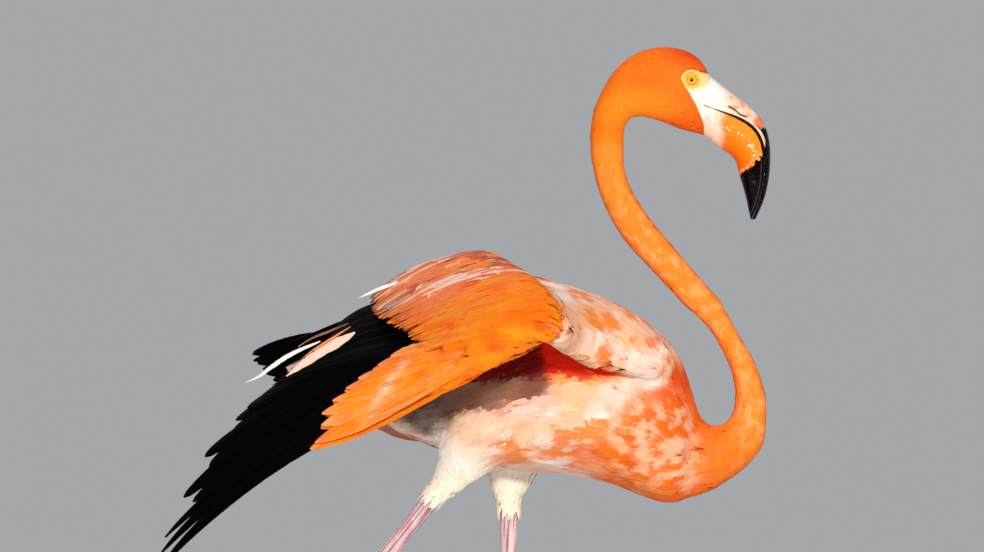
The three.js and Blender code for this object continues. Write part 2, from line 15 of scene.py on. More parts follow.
import bpy
import numpy as np
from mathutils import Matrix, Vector
from mathutils.bvhtree import BVHTree
from mathutils.kdtree import KDTree


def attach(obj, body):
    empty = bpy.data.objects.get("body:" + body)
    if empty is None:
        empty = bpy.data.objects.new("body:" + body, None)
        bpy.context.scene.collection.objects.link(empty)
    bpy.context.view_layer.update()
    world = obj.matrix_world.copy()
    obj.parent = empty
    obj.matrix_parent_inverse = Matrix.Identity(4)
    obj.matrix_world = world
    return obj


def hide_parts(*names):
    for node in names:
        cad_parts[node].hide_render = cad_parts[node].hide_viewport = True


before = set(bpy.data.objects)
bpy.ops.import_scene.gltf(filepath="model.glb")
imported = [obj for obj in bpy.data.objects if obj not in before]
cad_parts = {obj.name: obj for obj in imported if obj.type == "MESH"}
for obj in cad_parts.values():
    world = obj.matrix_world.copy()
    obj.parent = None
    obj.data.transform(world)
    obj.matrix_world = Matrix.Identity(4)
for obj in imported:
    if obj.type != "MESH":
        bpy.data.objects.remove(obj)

LOG = logging.getLogger("flamingo")
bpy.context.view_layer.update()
MM = 0.001
MIDDLE = np.array([6.8, -54.4, 0.0])  # middle of the bird's box, which is the frame's origin

Rows = Sequence[Sequence[float]]
Array = np.ndarray
Faces = list[tuple[int, ...]]
Rng = np.random.Generator
Thing = bpy.types.Object
Mesh = bpy.types.Mesh
Material = bpy.types.Material

# ---- sizes, millimetres

EYE_AT = np.array([199.0, 16.2, 888.0])

# Neck centre line from inside the breast up to the nape: X, Z, half depth, half width.
NECK_LINE: Rows = (
    (192, 551, 41.5, 40), (208, 549.5, 35.5, 33), (222, 552, 28, 26.5), (236.5, 559, 23.4, 22),
    (249.5, 574, 20.6, 19.5), (254.6, 597, 19.6, 18), (251.5, 616, 18.2, 17), (240, 644, 17, 16),
    (223, 670, 15.6, 14.8), (199, 699, 14.5, 14), (172, 729, 15.4, 14.2), (148, 757, 16.2, 14.4),
    (131.6, 786, 15, 13.8), (124, 812, 14.8, 13.6), (123, 838, 15, 14),
)
# Head sections from the nape to the bill's root: upper X, Z, lower X, Z, half width.
HEAD_LINE: Rows = (
    (108.1, 837.9, 138.1, 839.1, 14), (110.5, 858, 140.6, 848.6, 15), (118, 877, 146, 854.5, 16.5),
    (131, 898, 154.5, 855.4, 18.4), (149.4, 912.5, 164, 853.4, 20.4), (171, 918, 175, 850, 22),
    (190, 916, 188, 844.6, 21.8), (203, 910, 199.5, 841.5, 20.4), (211, 901, 208, 839.4, 18.8),
    (215.8, 892.6, 213.5, 837, 17.6), (222, 886.6, 220, 829.5, 16.8),
)
# Bill sections from its root to its tip: front X, Z, rear X, Z, half width.
BILL_LINE: Rows = (
    (212, 895, 210, 839, 17.8), (219, 889.4, 217.5, 833.6, 16.9), (230, 881, 226, 826.5, 16),
    (240, 873.5, 234, 821.5, 15.6), (251, 864.8, 239, 815.6, 15.4), (260.5, 855.2, 241, 808.8, 15),
    (266.8, 844, 243, 801, 14.4), (270, 829, 245.4, 793, 13.4), (270.2, 812, 247.2, 786.5, 11.8),
    (268.4, 796, 249, 779.5, 9.8), (264.4, 780, 250.6, 771.6, 7.4), (257, 763, 252.6, 762.6, 3.6),
)
MOUTH_LINE: Rows = (
    (208, 866), (218, 862.6), (230, 858.4), (241, 854), (250, 849), (257.4, 842),
    (262.4, 832), (264.6, 819), (264.2, 803), (262.4, 789), (258.4, 775), (251, 757),
)
NOSTRIL: Rows = ((232.5, 864.4), (238, 861.2), (243, 857.2), (248, 855.2))
# Where the feathers stop round the bare face, seen from the side: X, Z.
FACE_EDGE: Rows = (
    (215.5, 893.5), (208.5, 894.3), (204, 896.3), (199.5, 897.2), (194.5, 896), (191, 892.6),
    (190.2, 888.6), (192.6, 883.6), (195.8, 879), (199.8, 872.6), (203.6, 865), (207, 857.3),
    (210, 849.5), (212.4, 841), (212.6, 834), (211.0, 822),
)
FACE_FRONT = 262.0  # the bare face is open towards the bill
# Patches of colour on the body, seen from the side: X, Z. The wing pit and the flank shade are painted shade
# under the open wing.
BREAST: Rows = (
    (260, 700), (206, 650), (196, 712), (186, 640), (180, 624), (150, 606), (128, 590), (112, 566),
    (100, 556), (118, 530), (150, 500), (270, 500), (300, 600),
)
PALE_BREAST: Rows = ((120, 600), (178, 604), (206, 572), (206, 520), (150, 520), (108, 556))
MANTLE_TOP: Rows = ((60, 735), (60, 706), (120, 690), (160, 668), (190, 636), (215, 640), (200, 735))
CREASE: Rows = ((200, 660), (206, 626), (196, 600), (150, 604), (176, 614), (190, 628))
BELLY: Rows = ((14, 560), (60, 576), (120, 584), (134, 562), (60, 548), (20, 538))
SCARLET_FLANK: Rows = ((60, 658), (88, 654), (119, 634), (132, 624), (104, 621), (70, 624), (58, 640))
# Under the open wing: crimson feathers, darkened as the painted shadow that the wing casts.
WING_PIT_SHADE: Rows = (
    (61, 658), (71, 621), (30, 619), (-18, 616), (-46, 602), (-66, 590), (-84, 590), (-60, 612),
    (-27, 640), (9, 660),
)
# Painted shade of the open wing on the rear flank.
FLANK_SHADE: Rows = (
    (74, 622), (66, 606), (27, 594), (-13, 587), (-27, 566), (-58, 570), (-80, 584), (-100, 600),
    (-60, 612), (-18, 622),
)
# A pale streak down the open wing's hand, and the arc of painted glints (white highlights) on the lower bill.
HAND_STREAK: Rows = ((-56, 637), (-72, 618), (-84, 599), (-92, 582))
BILL_GLINT_ARC: Rows = ((226, 848), (240, 841), (252, 829), (257, 820))

# The lie of the feathers parts round these places.
PARTINGS = ((180.0, -66.0, 640.0), (86.0, -160.0, 666.0))
# The near wing's front edge, seen from the side: X, Z.
WING_FRONT: Rows = ((74, 82, 83, 80, 70, 54, 36, 15), (655, 663, 674, 683, 692, 706, 719, 730))

LEGS = {
    "right": {"side": -1, "hip": (18, 583), "feathers": (-29.5, 514), "ankle": (-165.5, 349),
              "foot": (-165.5, 15), "thigh": (46, 40, 32, 24.5, 20, 15.6, 10.2)},
    "left": {"side": 1, "hip": (40, 560), "feathers": (32, 504), "ankle": (32, 306),
             "foot": (194, 15), "thigh": (36, 32, 26.5, 22, 18, 14.4, 9.8)},
}
LEG_Y = {"hip": 40, "feathers": 37, "ankle": 33, "foot": 30}


# ---- colours


class Tone(Enum):
    """Colours of the bird, as red, green and blue in hexadecimal."""

    EMBER = "f23c04"
    ORANGE = "fd6800"
    AMBER = "ff8a0c"
    GOLD = "fb8c14"
    PEACH = "fcb46a"
    SALMON = "f8864c"
    ROSE = "f9b294"
    PETAL = "fbd3bd"
    SNOW = "fdf1e6"
    CREAM = "fbeed6"
    SCARLET = "ff2404"
    CRIMSON = "6d0d06"
    UMBER = "7a4a36"
    BARK = "43211a"
    DUSK = "a84a3c"
    BLACK = "010101"
    SOOT = "09080a"
    BONE = "d8cdc4"
    LEG_PINK = "e7b0b8"
    LEG_DARK = "8e3c56"
    YOLK = "f9c41c"
    HORN = "f7c3a0"

    @property
    def linear(self) -> Array:
        """The colour as linear light."""
        srgb = np.array([int(self.value[i:i + 2], 16) / 255 for i in (0, 2, 4)])
        return np.where(srgb <= 0.04045, srgb / 12.92, ((srgb + 0.055) / 1.055) ** 2.4)


def mix(a: "Array | Tone", b: "Array | Tone", share: Array | float) -> Array:
    """Goes from a to b by a share, row by row.

    Args:
        a: one colour, a row of them or a tone.
        b: the same.
        share: how much of b, one number or one for each row.

    Returns:
        The mixed rows.
    """
    part = np.asarray(share, float)[..., None]
    a, b = (colour.linear if isinstance(colour, Tone) else colour for colour in (a, b))
    return a * (1 - part) + b * part


def layered(colour: "Array | Tone", *coats: tuple) -> Array:
    """Lays coats over a colour, each a colour and its share."""
    for coat, share in coats:
        colour = mix(colour, coat, share)
    return colour


def ease(low: float, high: float, value: Array) -> Array:
    """A smooth step from 0 at low to 1 at high, either way round."""
    s = np.clip((np.asarray(value, float) - low) / (high - low), 0, 1)
    return s * s * (3 - 2 * s)


def unit(vectors: Array) -> Array:
    """The vectors at length one."""
    return vectors / np.maximum(np.linalg.norm(vectors, axis=-1, keepdims=True), 1e-9)


def to_frame(points: Array) -> Array:
    """Bird's millimetres to the frame's metres."""
    return (points - MIDDLE) * MM


def from_frame(points: Array) -> Array:
    """The frame's metres to the bird's millimetres."""
    return points / MM + MIDDLE


class Region:
    """A patch outlined in the XZ plane."""

    def __init__(self, outline: Rows) -> None:
        """Keeps the outline's corners."""
        self.outline = np.array(outline, float)

    def depth(self, points: Array) -> Array:
        """How far inside the outline points lie; negative outside."""
        p = points[:, [0, 2]]
        best = np.full(len(p), np.inf)
        inside = np.zeros(len(p), bool)
        for (ax, az), (bx, bz) in zip(self.outline, np.roll(self.outline, -1, axis=0)):
            edge = np.array([bx - ax, bz - az])
            s = np.clip(((p - (ax, az)) @ edge) / (edge @ edge), 0, 1)
            best = np.minimum(best, np.linalg.norm(p - (ax, az) - s[:, None] * edge, axis=1))
            if az != bz:
                crossing = (p[:, 1] < az) != (p[:, 1] < bz)
                inside ^= crossing & (p[:, 0] < (bx - ax) * (p[:, 1] - az) / (bz - az) + ax)
        return np.where(inside, best, -best)

    def share(self, points: Array, soft: float) -> Array:
        """1 inside and 0 outside, over a soft edge."""
        return ease(-soft, soft, self.depth(points))


class Mottle:
    """Smooth seeded noise in space, from 0 to 1."""

    SIZE = 32
    SOFT = 0.035

    def __init__(self, seed: int) -> None:
        """Fills the table of random values."""
        self.table = np.random.default_rng(seed).random((self.SIZE,) * 3)

    def __call__(self, points: Array, grain: float | Sequence[float]) -> Array:
        """Noise at points.

        Args:
            points: rows of three numbers.
            grain: size of a blotch, one number or one for each axis.

        Returns:
            One value for each row.
        """
        place = points / np.asarray(grain, float)
        cell = np.floor(place).astype(int)
        f = place - cell
        f = f * f * (3 - 2 * f)
        total = np.zeros(len(points))
        for corner in np.ndindex(2, 2, 2):
            share = np.prod([f[:, k] if c else 1 - f[:, k] for k, c in enumerate(corner)], axis=0)
            index = (cell + corner) % self.SIZE
            total += share * self.table[index[:, 0], index[:, 1], index[:, 2]]
        return total

    def patches(self, points: Array, grain: float | Sequence[float], cover: float | Array) -> Array:
        """Soft blotches that cover about that share of the surface."""
        level = 0.5 + 0.9 * ((1 - np.asarray(cover)) ** 0.14 - np.asarray(cover) ** 0.14)
        return ease(level - self.SOFT, level + self.SOFT, self(points, grain))


# ---- curves and surfaces


class Curve:
    """Smooth line through rows of numbers, measured by its leading columns."""

    def __init__(self, rows: Rows, spread: int = 2) -> None:
        """Keeps the rows, their places along the line and their slopes.

        Args:
            rows: key rows.
            spread: how many leading columns are coordinates.
        """
        self.rows = np.array(rows, float)
        gaps = np.linalg.norm(np.diff(self.rows[:, :spread], axis=0), axis=1)
        self.marks = np.concatenate([[0.0], np.cumsum(gaps)])
        self.span = float(self.marks[-1])
        index = np.arange(len(self.rows))
        after, before = np.minimum(index + 1, index[-1]), np.maximum(index - 1, 0)
        run = (self.marks[after] - self.marks[before])[:, None]
        self.slopes = (self.rows[after] - self.rows[before]) / run

    def __call__(self, t: Array | float) -> Array:
        """Rows at fractions of the way."""
        place = np.clip(np.asarray(t, float), 0, 1) * self.span
        i = np.clip(np.searchsorted(self.marks, place, side="right") - 1, 0, len(self.marks) - 2)
        width = (self.marks[i + 1] - self.marks[i])[..., None]
        s = (place - self.marks[i])[..., None] / width
        eased = 3 * s**2 - 2 * s**3
        bends = (s**3 - 2 * s**2 + s) * self.slopes[i] + (s**3 - s**2) * self.slopes[i + 1]
        return (1 - eased) * self.rows[i] + eased * self.rows[i + 1] + bends * width

    def mark(self, row: int) -> float:
        """The fraction of the way at which a key row lies."""
        return float(self.marks[row] / self.span)


def weave(grid: Array) -> Faces:
    """Quads between the neighbouring rows and columns of a grid of corners."""
    quads = np.stack([grid[:-1, :-1], grid[:-1, 1:], grid[1:, 1:], grid[1:, :-1]], -1)
    return [tuple(quad) for quad in quads.reshape(-1, 4).tolist()]


@dataclass(frozen=True)
class Solid:
    """A mesh as points in millimetres and faces of three or four corners."""

    points: Array
    faces: Faces

    @staticmethod
    def loft(centres: Array, across: Array, up: Array, halves: Array, sides: int,
             power: float = 2) -> "Solid":
        """A closed body through rings.

        Args:
            centres: middle of each ring.
            across: unit direction of each ring's first half size.
            up: unit direction of the second.
            halves: the two half sizes of each ring.
            sides: corners of a ring.
            power: 2 for an ellipse, more for a squarer section.

        Returns:
            The body.
        """
        angle = np.linspace(0, 2 * np.pi, sides, endpoint=False)
        c, s = np.cos(angle), np.sin(angle)
        x = np.sign(c) * np.abs(c) ** (2 / power)
        y = np.sign(s) * np.abs(s) ** (2 / power)
        ring = centres[:, None] + across[:, None] * (halves[:, :1] * x)[..., None]
        ring = ring + up[:, None] * (halves[:, 1:] * y)[..., None]
        points = np.concatenate([ring.reshape(-1, 3), centres[:1], centres[-1:]])
        grid = np.pad(np.arange(len(centres) * sides).reshape(-1, sides), ((0, 0), (0, 1)), "wrap")
        faces: Faces = []
        for k in range(sides):
            faces += weave(grid[:, k:k + 2])
            faces.append((len(points) - 2, int(grid[0, k + 1]), int(grid[0, k])))
            faces.append((len(points) - 1, int(grid[-1, k]), int(grid[-1, k + 1])))
        return Solid(points, faces).outward()

    @staticmethod
    def profile(rows: Array, sides: int, power: float) -> "Solid":
        """A closed body from sections that stand in the XZ plane.

        Args:
            rows: X and Z of one edge, X and Z of the other, and the half width.
            sides: corners of a ring.
            power: as in loft.

        Returns:
            The body.
        """
        one, other = rows[:, 0:2], rows[:, 2:4]
        half = (one - other) / 2
        up = unit(np.insert(half, 1, 0.0, axis=1))
        halves = np.stack([rows[:, 4], np.linalg.norm(half, axis=1)], 1)
        centres = np.insert((one + other) / 2, 1, 0.0, axis=1)
        return Solid.loft(centres, np.tile([0.0, 1.0, 0.0], (len(rows), 1)), up, halves, sides, power)

    def outward(self) -> "Solid":
        """The same body with its faces turned out."""
        p = self.points
        volume = 0.0
        for face in self.faces:
            for i in range(1, len(face) - 1):
                volume += float(np.dot(p[face[0]], np.cross(p[face[i]], p[face[i + 1]])))
        return self if volume > 0 else Solid(p, [face[::-1] for face in self.faces])

    @staticmethod
    def tube(line: Array, radii: Array, sides: int, side_way: tuple = (0, 1, 0)) -> "Solid":
        """A round body along points.

        Args:
            line: middle points.
            radii: radius at each point.
            sides: corners of a ring.
            side_way: a direction that the rings lie across.

        Returns:
            The body.
        """
        along = unit(np.gradient(line, axis=0))
        up = unit(np.cross(along, np.array(side_way, float)))
        return Solid.loft(line, unit(np.cross(up, along)), up, np.stack([radii, radii], 1), sides)

    def object(self, name: str) -> Thing:
        """A Blender object of the body, in the frame."""
        mesh = bpy.data.meshes.new(name)
        mesh.from_pydata([tuple(v) for v in to_frame(self.points)], [], self.faces)
        return placed(name, mesh)


def placed(name: str, data: bpy.types.ID) -> Thing:
    """A new object in the scene."""
    made = bpy.data.objects.new(name, data)
    bpy.context.scene.collection.objects.link(made)
    return made


def settle(thing: Thing, *steps: tuple[str, dict]) -> Thing:
    """Applies modifiers to an object, in order.

    Args:
        thing: the object.
        steps: each modifier's type and settings.

    Returns:
        The object with its mesh changed.
    """
    for kind, settings in steps:
        modifier = thing.modifiers.new(kind.lower(), kind)
        for key, value in settings.items():
            setattr(modifier, key, value)
    shown = thing.evaluated_get(bpy.context.evaluated_depsgraph_get())
    mesh = bpy.data.meshes.new_from_object(shown)
    thing.modifiers.clear()
    old = thing.data
    thing.data = mesh
    bpy.data.meshes.remove(old)
    return thing


def combined(thing: Thing, tool: Thing, way: str) -> Thing:
    """Unites an object with another, or cuts it by it, and removes the other."""
    settle(thing, ("BOOLEAN", {"operation": way, "solver": "MANIFOLD", "object": tool}))
    bpy.data.objects.remove(tool)
    return thing


def corners_of(mesh: Mesh) -> Array:
    """The mesh's points in the bird's millimetres."""
    flat = np.empty(len(mesh.vertices) * 3)
    mesh.vertices.foreach_get("co", flat)
    return from_frame(flat.reshape(-1, 3))


def normals_of(mesh: Mesh) -> Array:
    """The smooth normal at each point of a mesh."""
    flat = np.empty(len(mesh.vertices) * 3)
    mesh.vertex_normals.foreach_get("vector", flat)
    return flat.reshape(-1, 3)


def move_corners(mesh: Mesh, points: Array) -> None:
    """Puts a mesh's points at new places, given in the bird's millimetres."""
    mesh.vertices.foreach_set("co", to_frame(points).ravel())
    mesh.update()


def soften(mesh: Mesh, share: Array, rounds: int) -> None:
    """Relaxes a mesh towards its neighbours' middle where the share is over 0."""
    flat = np.empty(len(mesh.edges) * 2, np.int32)
    mesh.edges.foreach_get("vertices", flat)
    a, b = flat.reshape(-1, 2).T
    points = corners_of(mesh)
    count = np.bincount(a, minlength=len(points)) + np.bincount(b, minlength=len(points))
    for _ in range(rounds):
        total = np.stack([
            np.bincount(a, points[b, k], len(points)) + np.bincount(b, points[a, k], len(points))
            for k in range(3)
        ], 1)
        points = points + (total / np.maximum(count, 1)[:, None] - points) * (0.6 * share)[:, None]
    move_corners(mesh, points)


def joined(name: str, parts: Sequence[Thing]) -> Thing:
    """One object that takes in the meshes of several, which are removed."""
    points: list[Array] = []
    faces: Faces = []
    for part in parts:
        shift = sum(len(p) for p in points)
        points.append(corners_of(part.data))
        faces += [tuple(v + shift for v in polygon.vertices) for polygon in part.data.polygons]
        bpy.data.objects.remove(part)
    return Solid(np.concatenate(points), faces).object(name)


def copy_of(node: str, grow: float = 0.0) -> Thing:
    """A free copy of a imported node, its points welded and pushed out by a distance."""
    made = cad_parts[node].copy()
    made.data = made.data.copy()
    made.parent = None
    made.name = f"copy_{node}"
    bpy.context.scene.collection.objects.link(made)
    made.hide_render = False
    settle(made, ("WELD", {"merge_threshold": 0.01 * MM}))
    if grow:
        move_corners(made.data, corners_of(made.data) + normals_of(made.data) * grow)
    return made


class Shell:
    """A surface that feathers are laid on."""

    def __init__(self, mesh: Mesh) -> None:
        """Keeps the mesh's points, smooth normals and a search tree."""
        self.points = corners_of(mesh)
        self.normals = normals_of(mesh)
        mesh.calc_loop_triangles()
        flat = np.empty(len(mesh.loop_triangles) * 3, np.int32)
        mesh.loop_triangles.foreach_get("vertices", flat)
        self.triangles = flat.reshape(-1, 3)
        self.tree = BVHTree.FromPolygons(self.points.tolist(), self.triangles.tolist())

    def scatter(self, pitch: Callable[[Array], Array], rng: Rng) -> tuple[Array, Array]:
        """Random points that keep a pitch, and their normals.

        Args:
            pitch: gives the distance between neighbours at points; infinite where nothing grows.
            rng: the random numbers' source.

        Returns:
            The points and their normals.
        """
        a, b, c = (self.points[self.triangles[:, k]] for k in range(3))
        area = np.linalg.norm(np.cross(b - a, c - a), axis=1) / 2
        crowd = area / pitch((a + b + c) / 3) ** 2
        pick = rng.choice(len(area), int(5 * crowd.sum()), p=crowd / crowd.sum())
        u, v = rng.random(len(pick)), rng.random(len(pick))
        flip = u + v > 1
        u, v = np.where(flip, 1 - u, u), np.where(flip, 1 - v, v)
        points = a[pick] + (b - a)[pick] * u[:, None] + (c - a)[pick] * v[:, None]
        normals = unit(self.normals[self.triangles[pick]].mean(axis=1))
        gap = pitch(points)
        grows = np.isfinite(gap)
        points, normals = points[grows], normals[grows]
        kept = thinned(points, gap[grows], rng)
        return points[kept], normals[kept]

    def nearest(self, points: Array) -> tuple[Array, Array, Array]:
        """The closest places on the surface, their normals and how far they are."""
        found = [self.tree.find_nearest(p) for p in points.tolist()]
        index = np.array([hit[2] for hit in found])
        places = np.array([tuple(hit[0]) for hit in found])
        away = np.array([hit[3] for hit in found])
        return places, unit(self.normals[self.triangles[index]].mean(axis=1)), away


def thinned(points: Array, pitch: Array, rng: Rng) -> Array:
    """Picks points that keep their distance.

    Args:
        points: candidates.
        pitch: the distance that each keeps.
        rng: the random numbers' source.

    Returns:
        The indices of the points that stay.
    """
    tree = KDTree(len(points))
    for i, p in enumerate(points.tolist()):
        tree.insert(p, i)
    tree.balance()
    gone = np.zeros(len(points), bool)
    kept: list[int] = []
    for i in rng.permutation(len(points)):
        if gone[i]:
            continue
        kept.append(int(i))
        for _, j, _ in tree.find_range(points[i].tolist(), float(pitch[i])):
            gone[j] = True
    return np.array(kept, int)


# ---- shader graphs


class Value:
    """A socket that carries numbers, with arithmetic."""

    def __init__(self, graph: "Graph", socket: bpy.types.NodeSocket | None) -> None:
        """Wraps an output socket."""
        self.graph = graph
        self.socket = socket

    def _with(self, operation: str, *others: "Value | float") -> "Value":
        """A Math node on this value and others."""
        return self.graph.node("ShaderNodeMath", {"operation": operation}, dict(enumerate((self, *others))))

    __add__ = __radd__ = partialmethod(_with, "ADD")
    __mul__ = __rmul__ = partialmethod(_with, "MULTIPLY")
    __sub__ = partialmethod(_with, "SUBTRACT")
    __truediv__ = partialmethod(_with, "DIVIDE")
    __abs__ = partialmethod(_with, "ABSOLUTE")

    def __rsub__(self, other: float) -> "Value":
        """Difference the other way round."""
        return self * -1.0 + other

    def wave(self) -> "Value":
        """Sine, moved to run from 0 to 1."""
        return self._with("SINE") * 0.5 + 0.5

    def clamped(self) -> "Value":
        """The value kept between 0 and 1."""
        return self._with("MAXIMUM", 0.0)._with("MINIMUM", 1.0)

    def step(self, low: float, high: float) -> "Value":
        """A straight ramp from 0 at low to 1 at high."""
        return ((self - low) / (high - low)).clamped()


class Graph:
    """The nodes of one material."""

    def __init__(self, name: str) -> None:
        """Starts a material with an empty tree."""
        self.material = bpy.data.materials.new(name)
        self.material.use_nodes = True
        self.tree = self.material.node_tree
        self.tree.nodes.clear()

    def node(self, kind: str, settings: dict | None = None, inputs: dict | None = None,
             output: int | str | None = 0) -> Value:
        """Adds a node.

        Args:
            kind: its type.
            settings: its properties; `stops` fills a ramp with places and colours.
            inputs: values or links by socket name or number.
            output: the socket that is wanted, or nothing at the tree's end.

        Returns:
            That output.
        """
        made = self.tree.nodes.new(kind)
        for key, value in (settings or {}).items():
            if key == "stops":
                ramp = made.color_ramp.elements
                while len(ramp) < len(value):
                    ramp.new(1.0)
                for element, (place, colour) in zip(ramp, value):
                    element.position = place
                    element.color = (*colour, 1.0)
            else:
                setattr(made, key, value)
        for key, value in (inputs or {}).items():
            if isinstance(value, Value):
                self.tree.links.new(value.socket, made.inputs[key])
            else:
                made.inputs[key].default_value = value
        return Value(self, None if output is None else made.outputs[output])

    def tint(self) -> Value:
        """The colour painted on the mesh."""
        return self.attribute("tint", "Color")

    def attribute(self, name: str, output: str) -> Value:
        """A value stored on the mesh."""
        return self.node("ShaderNodeAttribute", {"attribute_name": name}, output=output)

    def parts(self, vector: Value) -> tuple[Value, Value, Value]:
        """The three numbers of a vector."""
        split = self.node("ShaderNodeSeparateXYZ", inputs={0: vector})
        return tuple(Value(self, socket) for socket in split.socket.node.outputs)

    def place(self) -> Value:
        """The place on the object."""
        return self.node("ShaderNodeTexCoord", output="Object")

    def vector(self, x: Value, y: Value, z: Value) -> Value:
        """A vector of three numbers."""
        return self.node("ShaderNodeCombineXYZ", inputs={0: x, 1: y, 2: z})

    def blend(self, a: Value, b: Value | Tone, share: Value | float, way: str = "MIX") -> Value:
        """Mixes two colours."""
        inputs = {0: share, 6: a, 7: b if isinstance(b, Value) else (*b.linear, 1.0)}
        return self.node("ShaderNodeMix", {"data_type": "RGBA", "blend_type": way}, inputs, 2)

    def shaded(self, tint: Value, shade: Value) -> Value:
        """A colour made lighter or darker by a number."""
        return self.blend(tint, self.vector(shade, shade, shade), 1.0, "MULTIPLY")

    def noise(self, vector: Value, scale: float, detail: float) -> Value:
        """Noise on a vector."""
        return self.node("ShaderNodeTexNoise", inputs={"Vector": vector, "Scale": scale, "Detail": detail})

    def bump(self, height: Value, strength: float, distance: float) -> Value:
        """Normal from a height."""
        inputs = {"Height": height, "Strength": strength, "Distance": distance * MM}
        return self.node("ShaderNodeBump", inputs=inputs)

    def finish(self, **inputs: Value | float) -> Material:
        """Closes the tree with a shader. An underscore in a name stands for a space."""
        named = {key.replace("_", " "): value for key, value in inputs.items()}
        shader = self.node("ShaderNodeBsdfPrincipled", inputs=named)
        self.node("ShaderNodeOutputMaterial", inputs={"Surface": shader}, output=None)
        return self.material


@dataclass(frozen=True)
class VaneFinish:
    """A feather's finish: barbs that slant off the shaft, streaks and a soft edge."""

    name: str
    roughness: float = 0.7
    streak: float = 0.16
    pitch: float = 0.8
    relief: float = 0.3
    shaft: float = 0.1
    gloss: float = 0.1

    def make(self) -> Material:
        """The material."""
        g = Graph(self.name)
        tint = g.tint()
        along, across, seed = g.parts(g.attribute("vane", "Vector"))
        side = abs(across)
        barb = ((along - side * 0.9) * (2 * math.pi / self.pitch)).wave()
        streak = g.noise(g.vector(along * 0.12, across * 1.1, seed * 40.0), 1.0, 3.0)
        shade = (streak - 0.5) * (self.streak * 2.0) + 1.0 - barb * 0.05
        shaft = (1 - side.step(0.1, 0.3)) * streak.step(0.35, 0.6)
        return g.finish(
            Base_Color=g.blend(g.shaded(tint, shade), Tone.SNOW, shaft * self.shaft),
            Roughness=(streak * 0.16 + (self.roughness - 0.08)).clamped(),
            Normal=g.bump(barb * 0.5 + shaft * 0.6 + streak * 0.8, self.relief, 0.2),
            Specular_IOR_Level=self.gloss,
        )


@dataclass(frozen=True)
class SkinFinish:
    """Bare skin and the skin under the feathers, with small scales on the legs."""

    name: str = "bird_skin"

    def make(self) -> Material:
        """The material."""
        g = Graph(self.name)
        tint = g.tint()
        place = g.place()
        leg = g.attribute("leg", "Fac")
        pores = g.noise(place, 900.0, 3.0)
        scales = g.node("ShaderNodeTexVoronoi", {"feature": "DISTANCE_TO_EDGE"},
                        {"Vector": place, "Scale": 420.0})
        blotch = g.noise(place, 160.0, 3.0)
        # Dark streaks down the shins: painted sheen stripes, the dark side of the pale streaks in the
        # markings.
        streak = g.noise(g.attribute("strand", "Vector"), 0.42, 2.0).step(0.47, 0.6) * leg
        colour = g.blend(tint, Tone.LEG_DARK, streak * 0.75)
        colour = g.blend(colour, Tone.SNOW, blotch.step(0.55, 0.75) * 0.3)
        plates = scales.step(0.0, 0.12)
        return g.finish(
            Base_Color=g.blend(colour, Tone.LEG_DARK, (1 - plates) * leg * 0.35),
            Roughness=pores * 0.2 + 0.42,
            Normal=g.bump(plates * leg * 1.5 + pores * 0.5, 0.45, 0.25),
            Specular_IOR_Level=0.3,
        )


@dataclass(frozen=True)
class HornFinish:
    """Smooth horn of the bill and claws."""

    name: str
    roughness: float = 0.3
    gloss: float = 0.1

    def make(self) -> Material:
        """The material."""
        g = Graph(self.name)
        tint = g.tint()
        place = g.place()
        x, y, z = g.parts(place)
        grain = g.noise(g.vector(x, y * 2.5, z * 0.7), 380.0, 4.0)
        fine = g.noise(place, 1500.0, 2.0)
        dark = 1 - g.parts(tint)[0].step(0.0, 0.1)
        waves = g.noise(place, 280.0, 0.0) * dark
        return g.finish(
            Base_Color=g.shaded(tint, (grain - 0.5) * 0.3 + 1.0),
            Roughness=(grain * 0.2 + (self.roughness + 0.1)) * (1 - dark * 0.74),
            Normal=g.bump((grain * 0.3 + fine * 0.05) * (1 - dark) + waves, 0.5, 0.5),
            Coat_Weight=g.noise(place, 420.0, 0.0).step(0.69, 0.73) * dark * 0.9 + 0.03,
            Coat_Roughness=0.06,
            Specular_IOR_Level=self.gloss,
        )


@dataclass(frozen=True)
class EyeFinish:
    """Wet eyeball."""

    name: str = "eye_ball"

    def make(self) -> Material:
        """The material."""
        g = Graph(self.name)
        place = g.place()
        flecks_and_glints = g.noise(place, 1800.0, 3.0).step(0.45, 0.7)
        tint = g.tint()
        iris = g.parts(tint)[0].step(0.05, 0.3)
        colour = g.blend(tint, Tone.AMBER, flecks_and_glints * iris * 0.25)
        return g.finish(Base_Color=colour, Roughness=0.07, Specular_IOR_Level=0.1)


@dataclass(frozen=True)
class FloorFinish:
    """Pale matt studio floor."""

    name: str = "studio_floor"

    def make(self) -> Material:
        """The material."""
        g = Graph(self.name)
        stops = ((0.0, (0.74, 0.74, 0.73)), (1.0, (0.8, 0.8, 0.79)))
        base = g.node("ShaderNodeValToRGB", {"stops": stops}, {0: g.noise(g.place(), 6.0, 2.0)})
        return g.finish(Base_Color=base, Roughness=0.85)


def paint(mesh: Mesh, name: str, values: Array) -> None:
    """Stores a vector or a number on each point of a mesh."""
    kind, key = ("FLOAT", "value") if values.ndim == 1 else ("FLOAT_VECTOR", "vector")
    mesh.attributes.new(name, kind, "POINT").data.foreach_set(key, values.astype(np.float32).ravel())


def tint(mesh: Mesh, colours: Array) -> None:
    """Stores a colour on each point of a mesh."""
    full = np.insert(colours, 3, 1.0, axis=1).astype(np.float32)
    mesh.attributes.new("tint", "FLOAT_COLOR", "POINT").data.foreach_set("color", full.ravel())


def dress(thing: Thing, material: Material, slot: str, *nodes: str) -> Thing:
    """Gives a finished piece its material and its body, and hides the nodes that it stands for."""
    thing.data.materials.clear()
    thing.data.materials.append(material)
    thing.data.polygons.foreach_set("use_smooth", [True] * len(thing.data.polygons))
    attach(thing, "root")
    if nodes:
        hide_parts(*nodes)
    LOG.info("%s: %d faces", thing.name, len(thing.data.polygons))
    return thing


# ---- the bird's plan


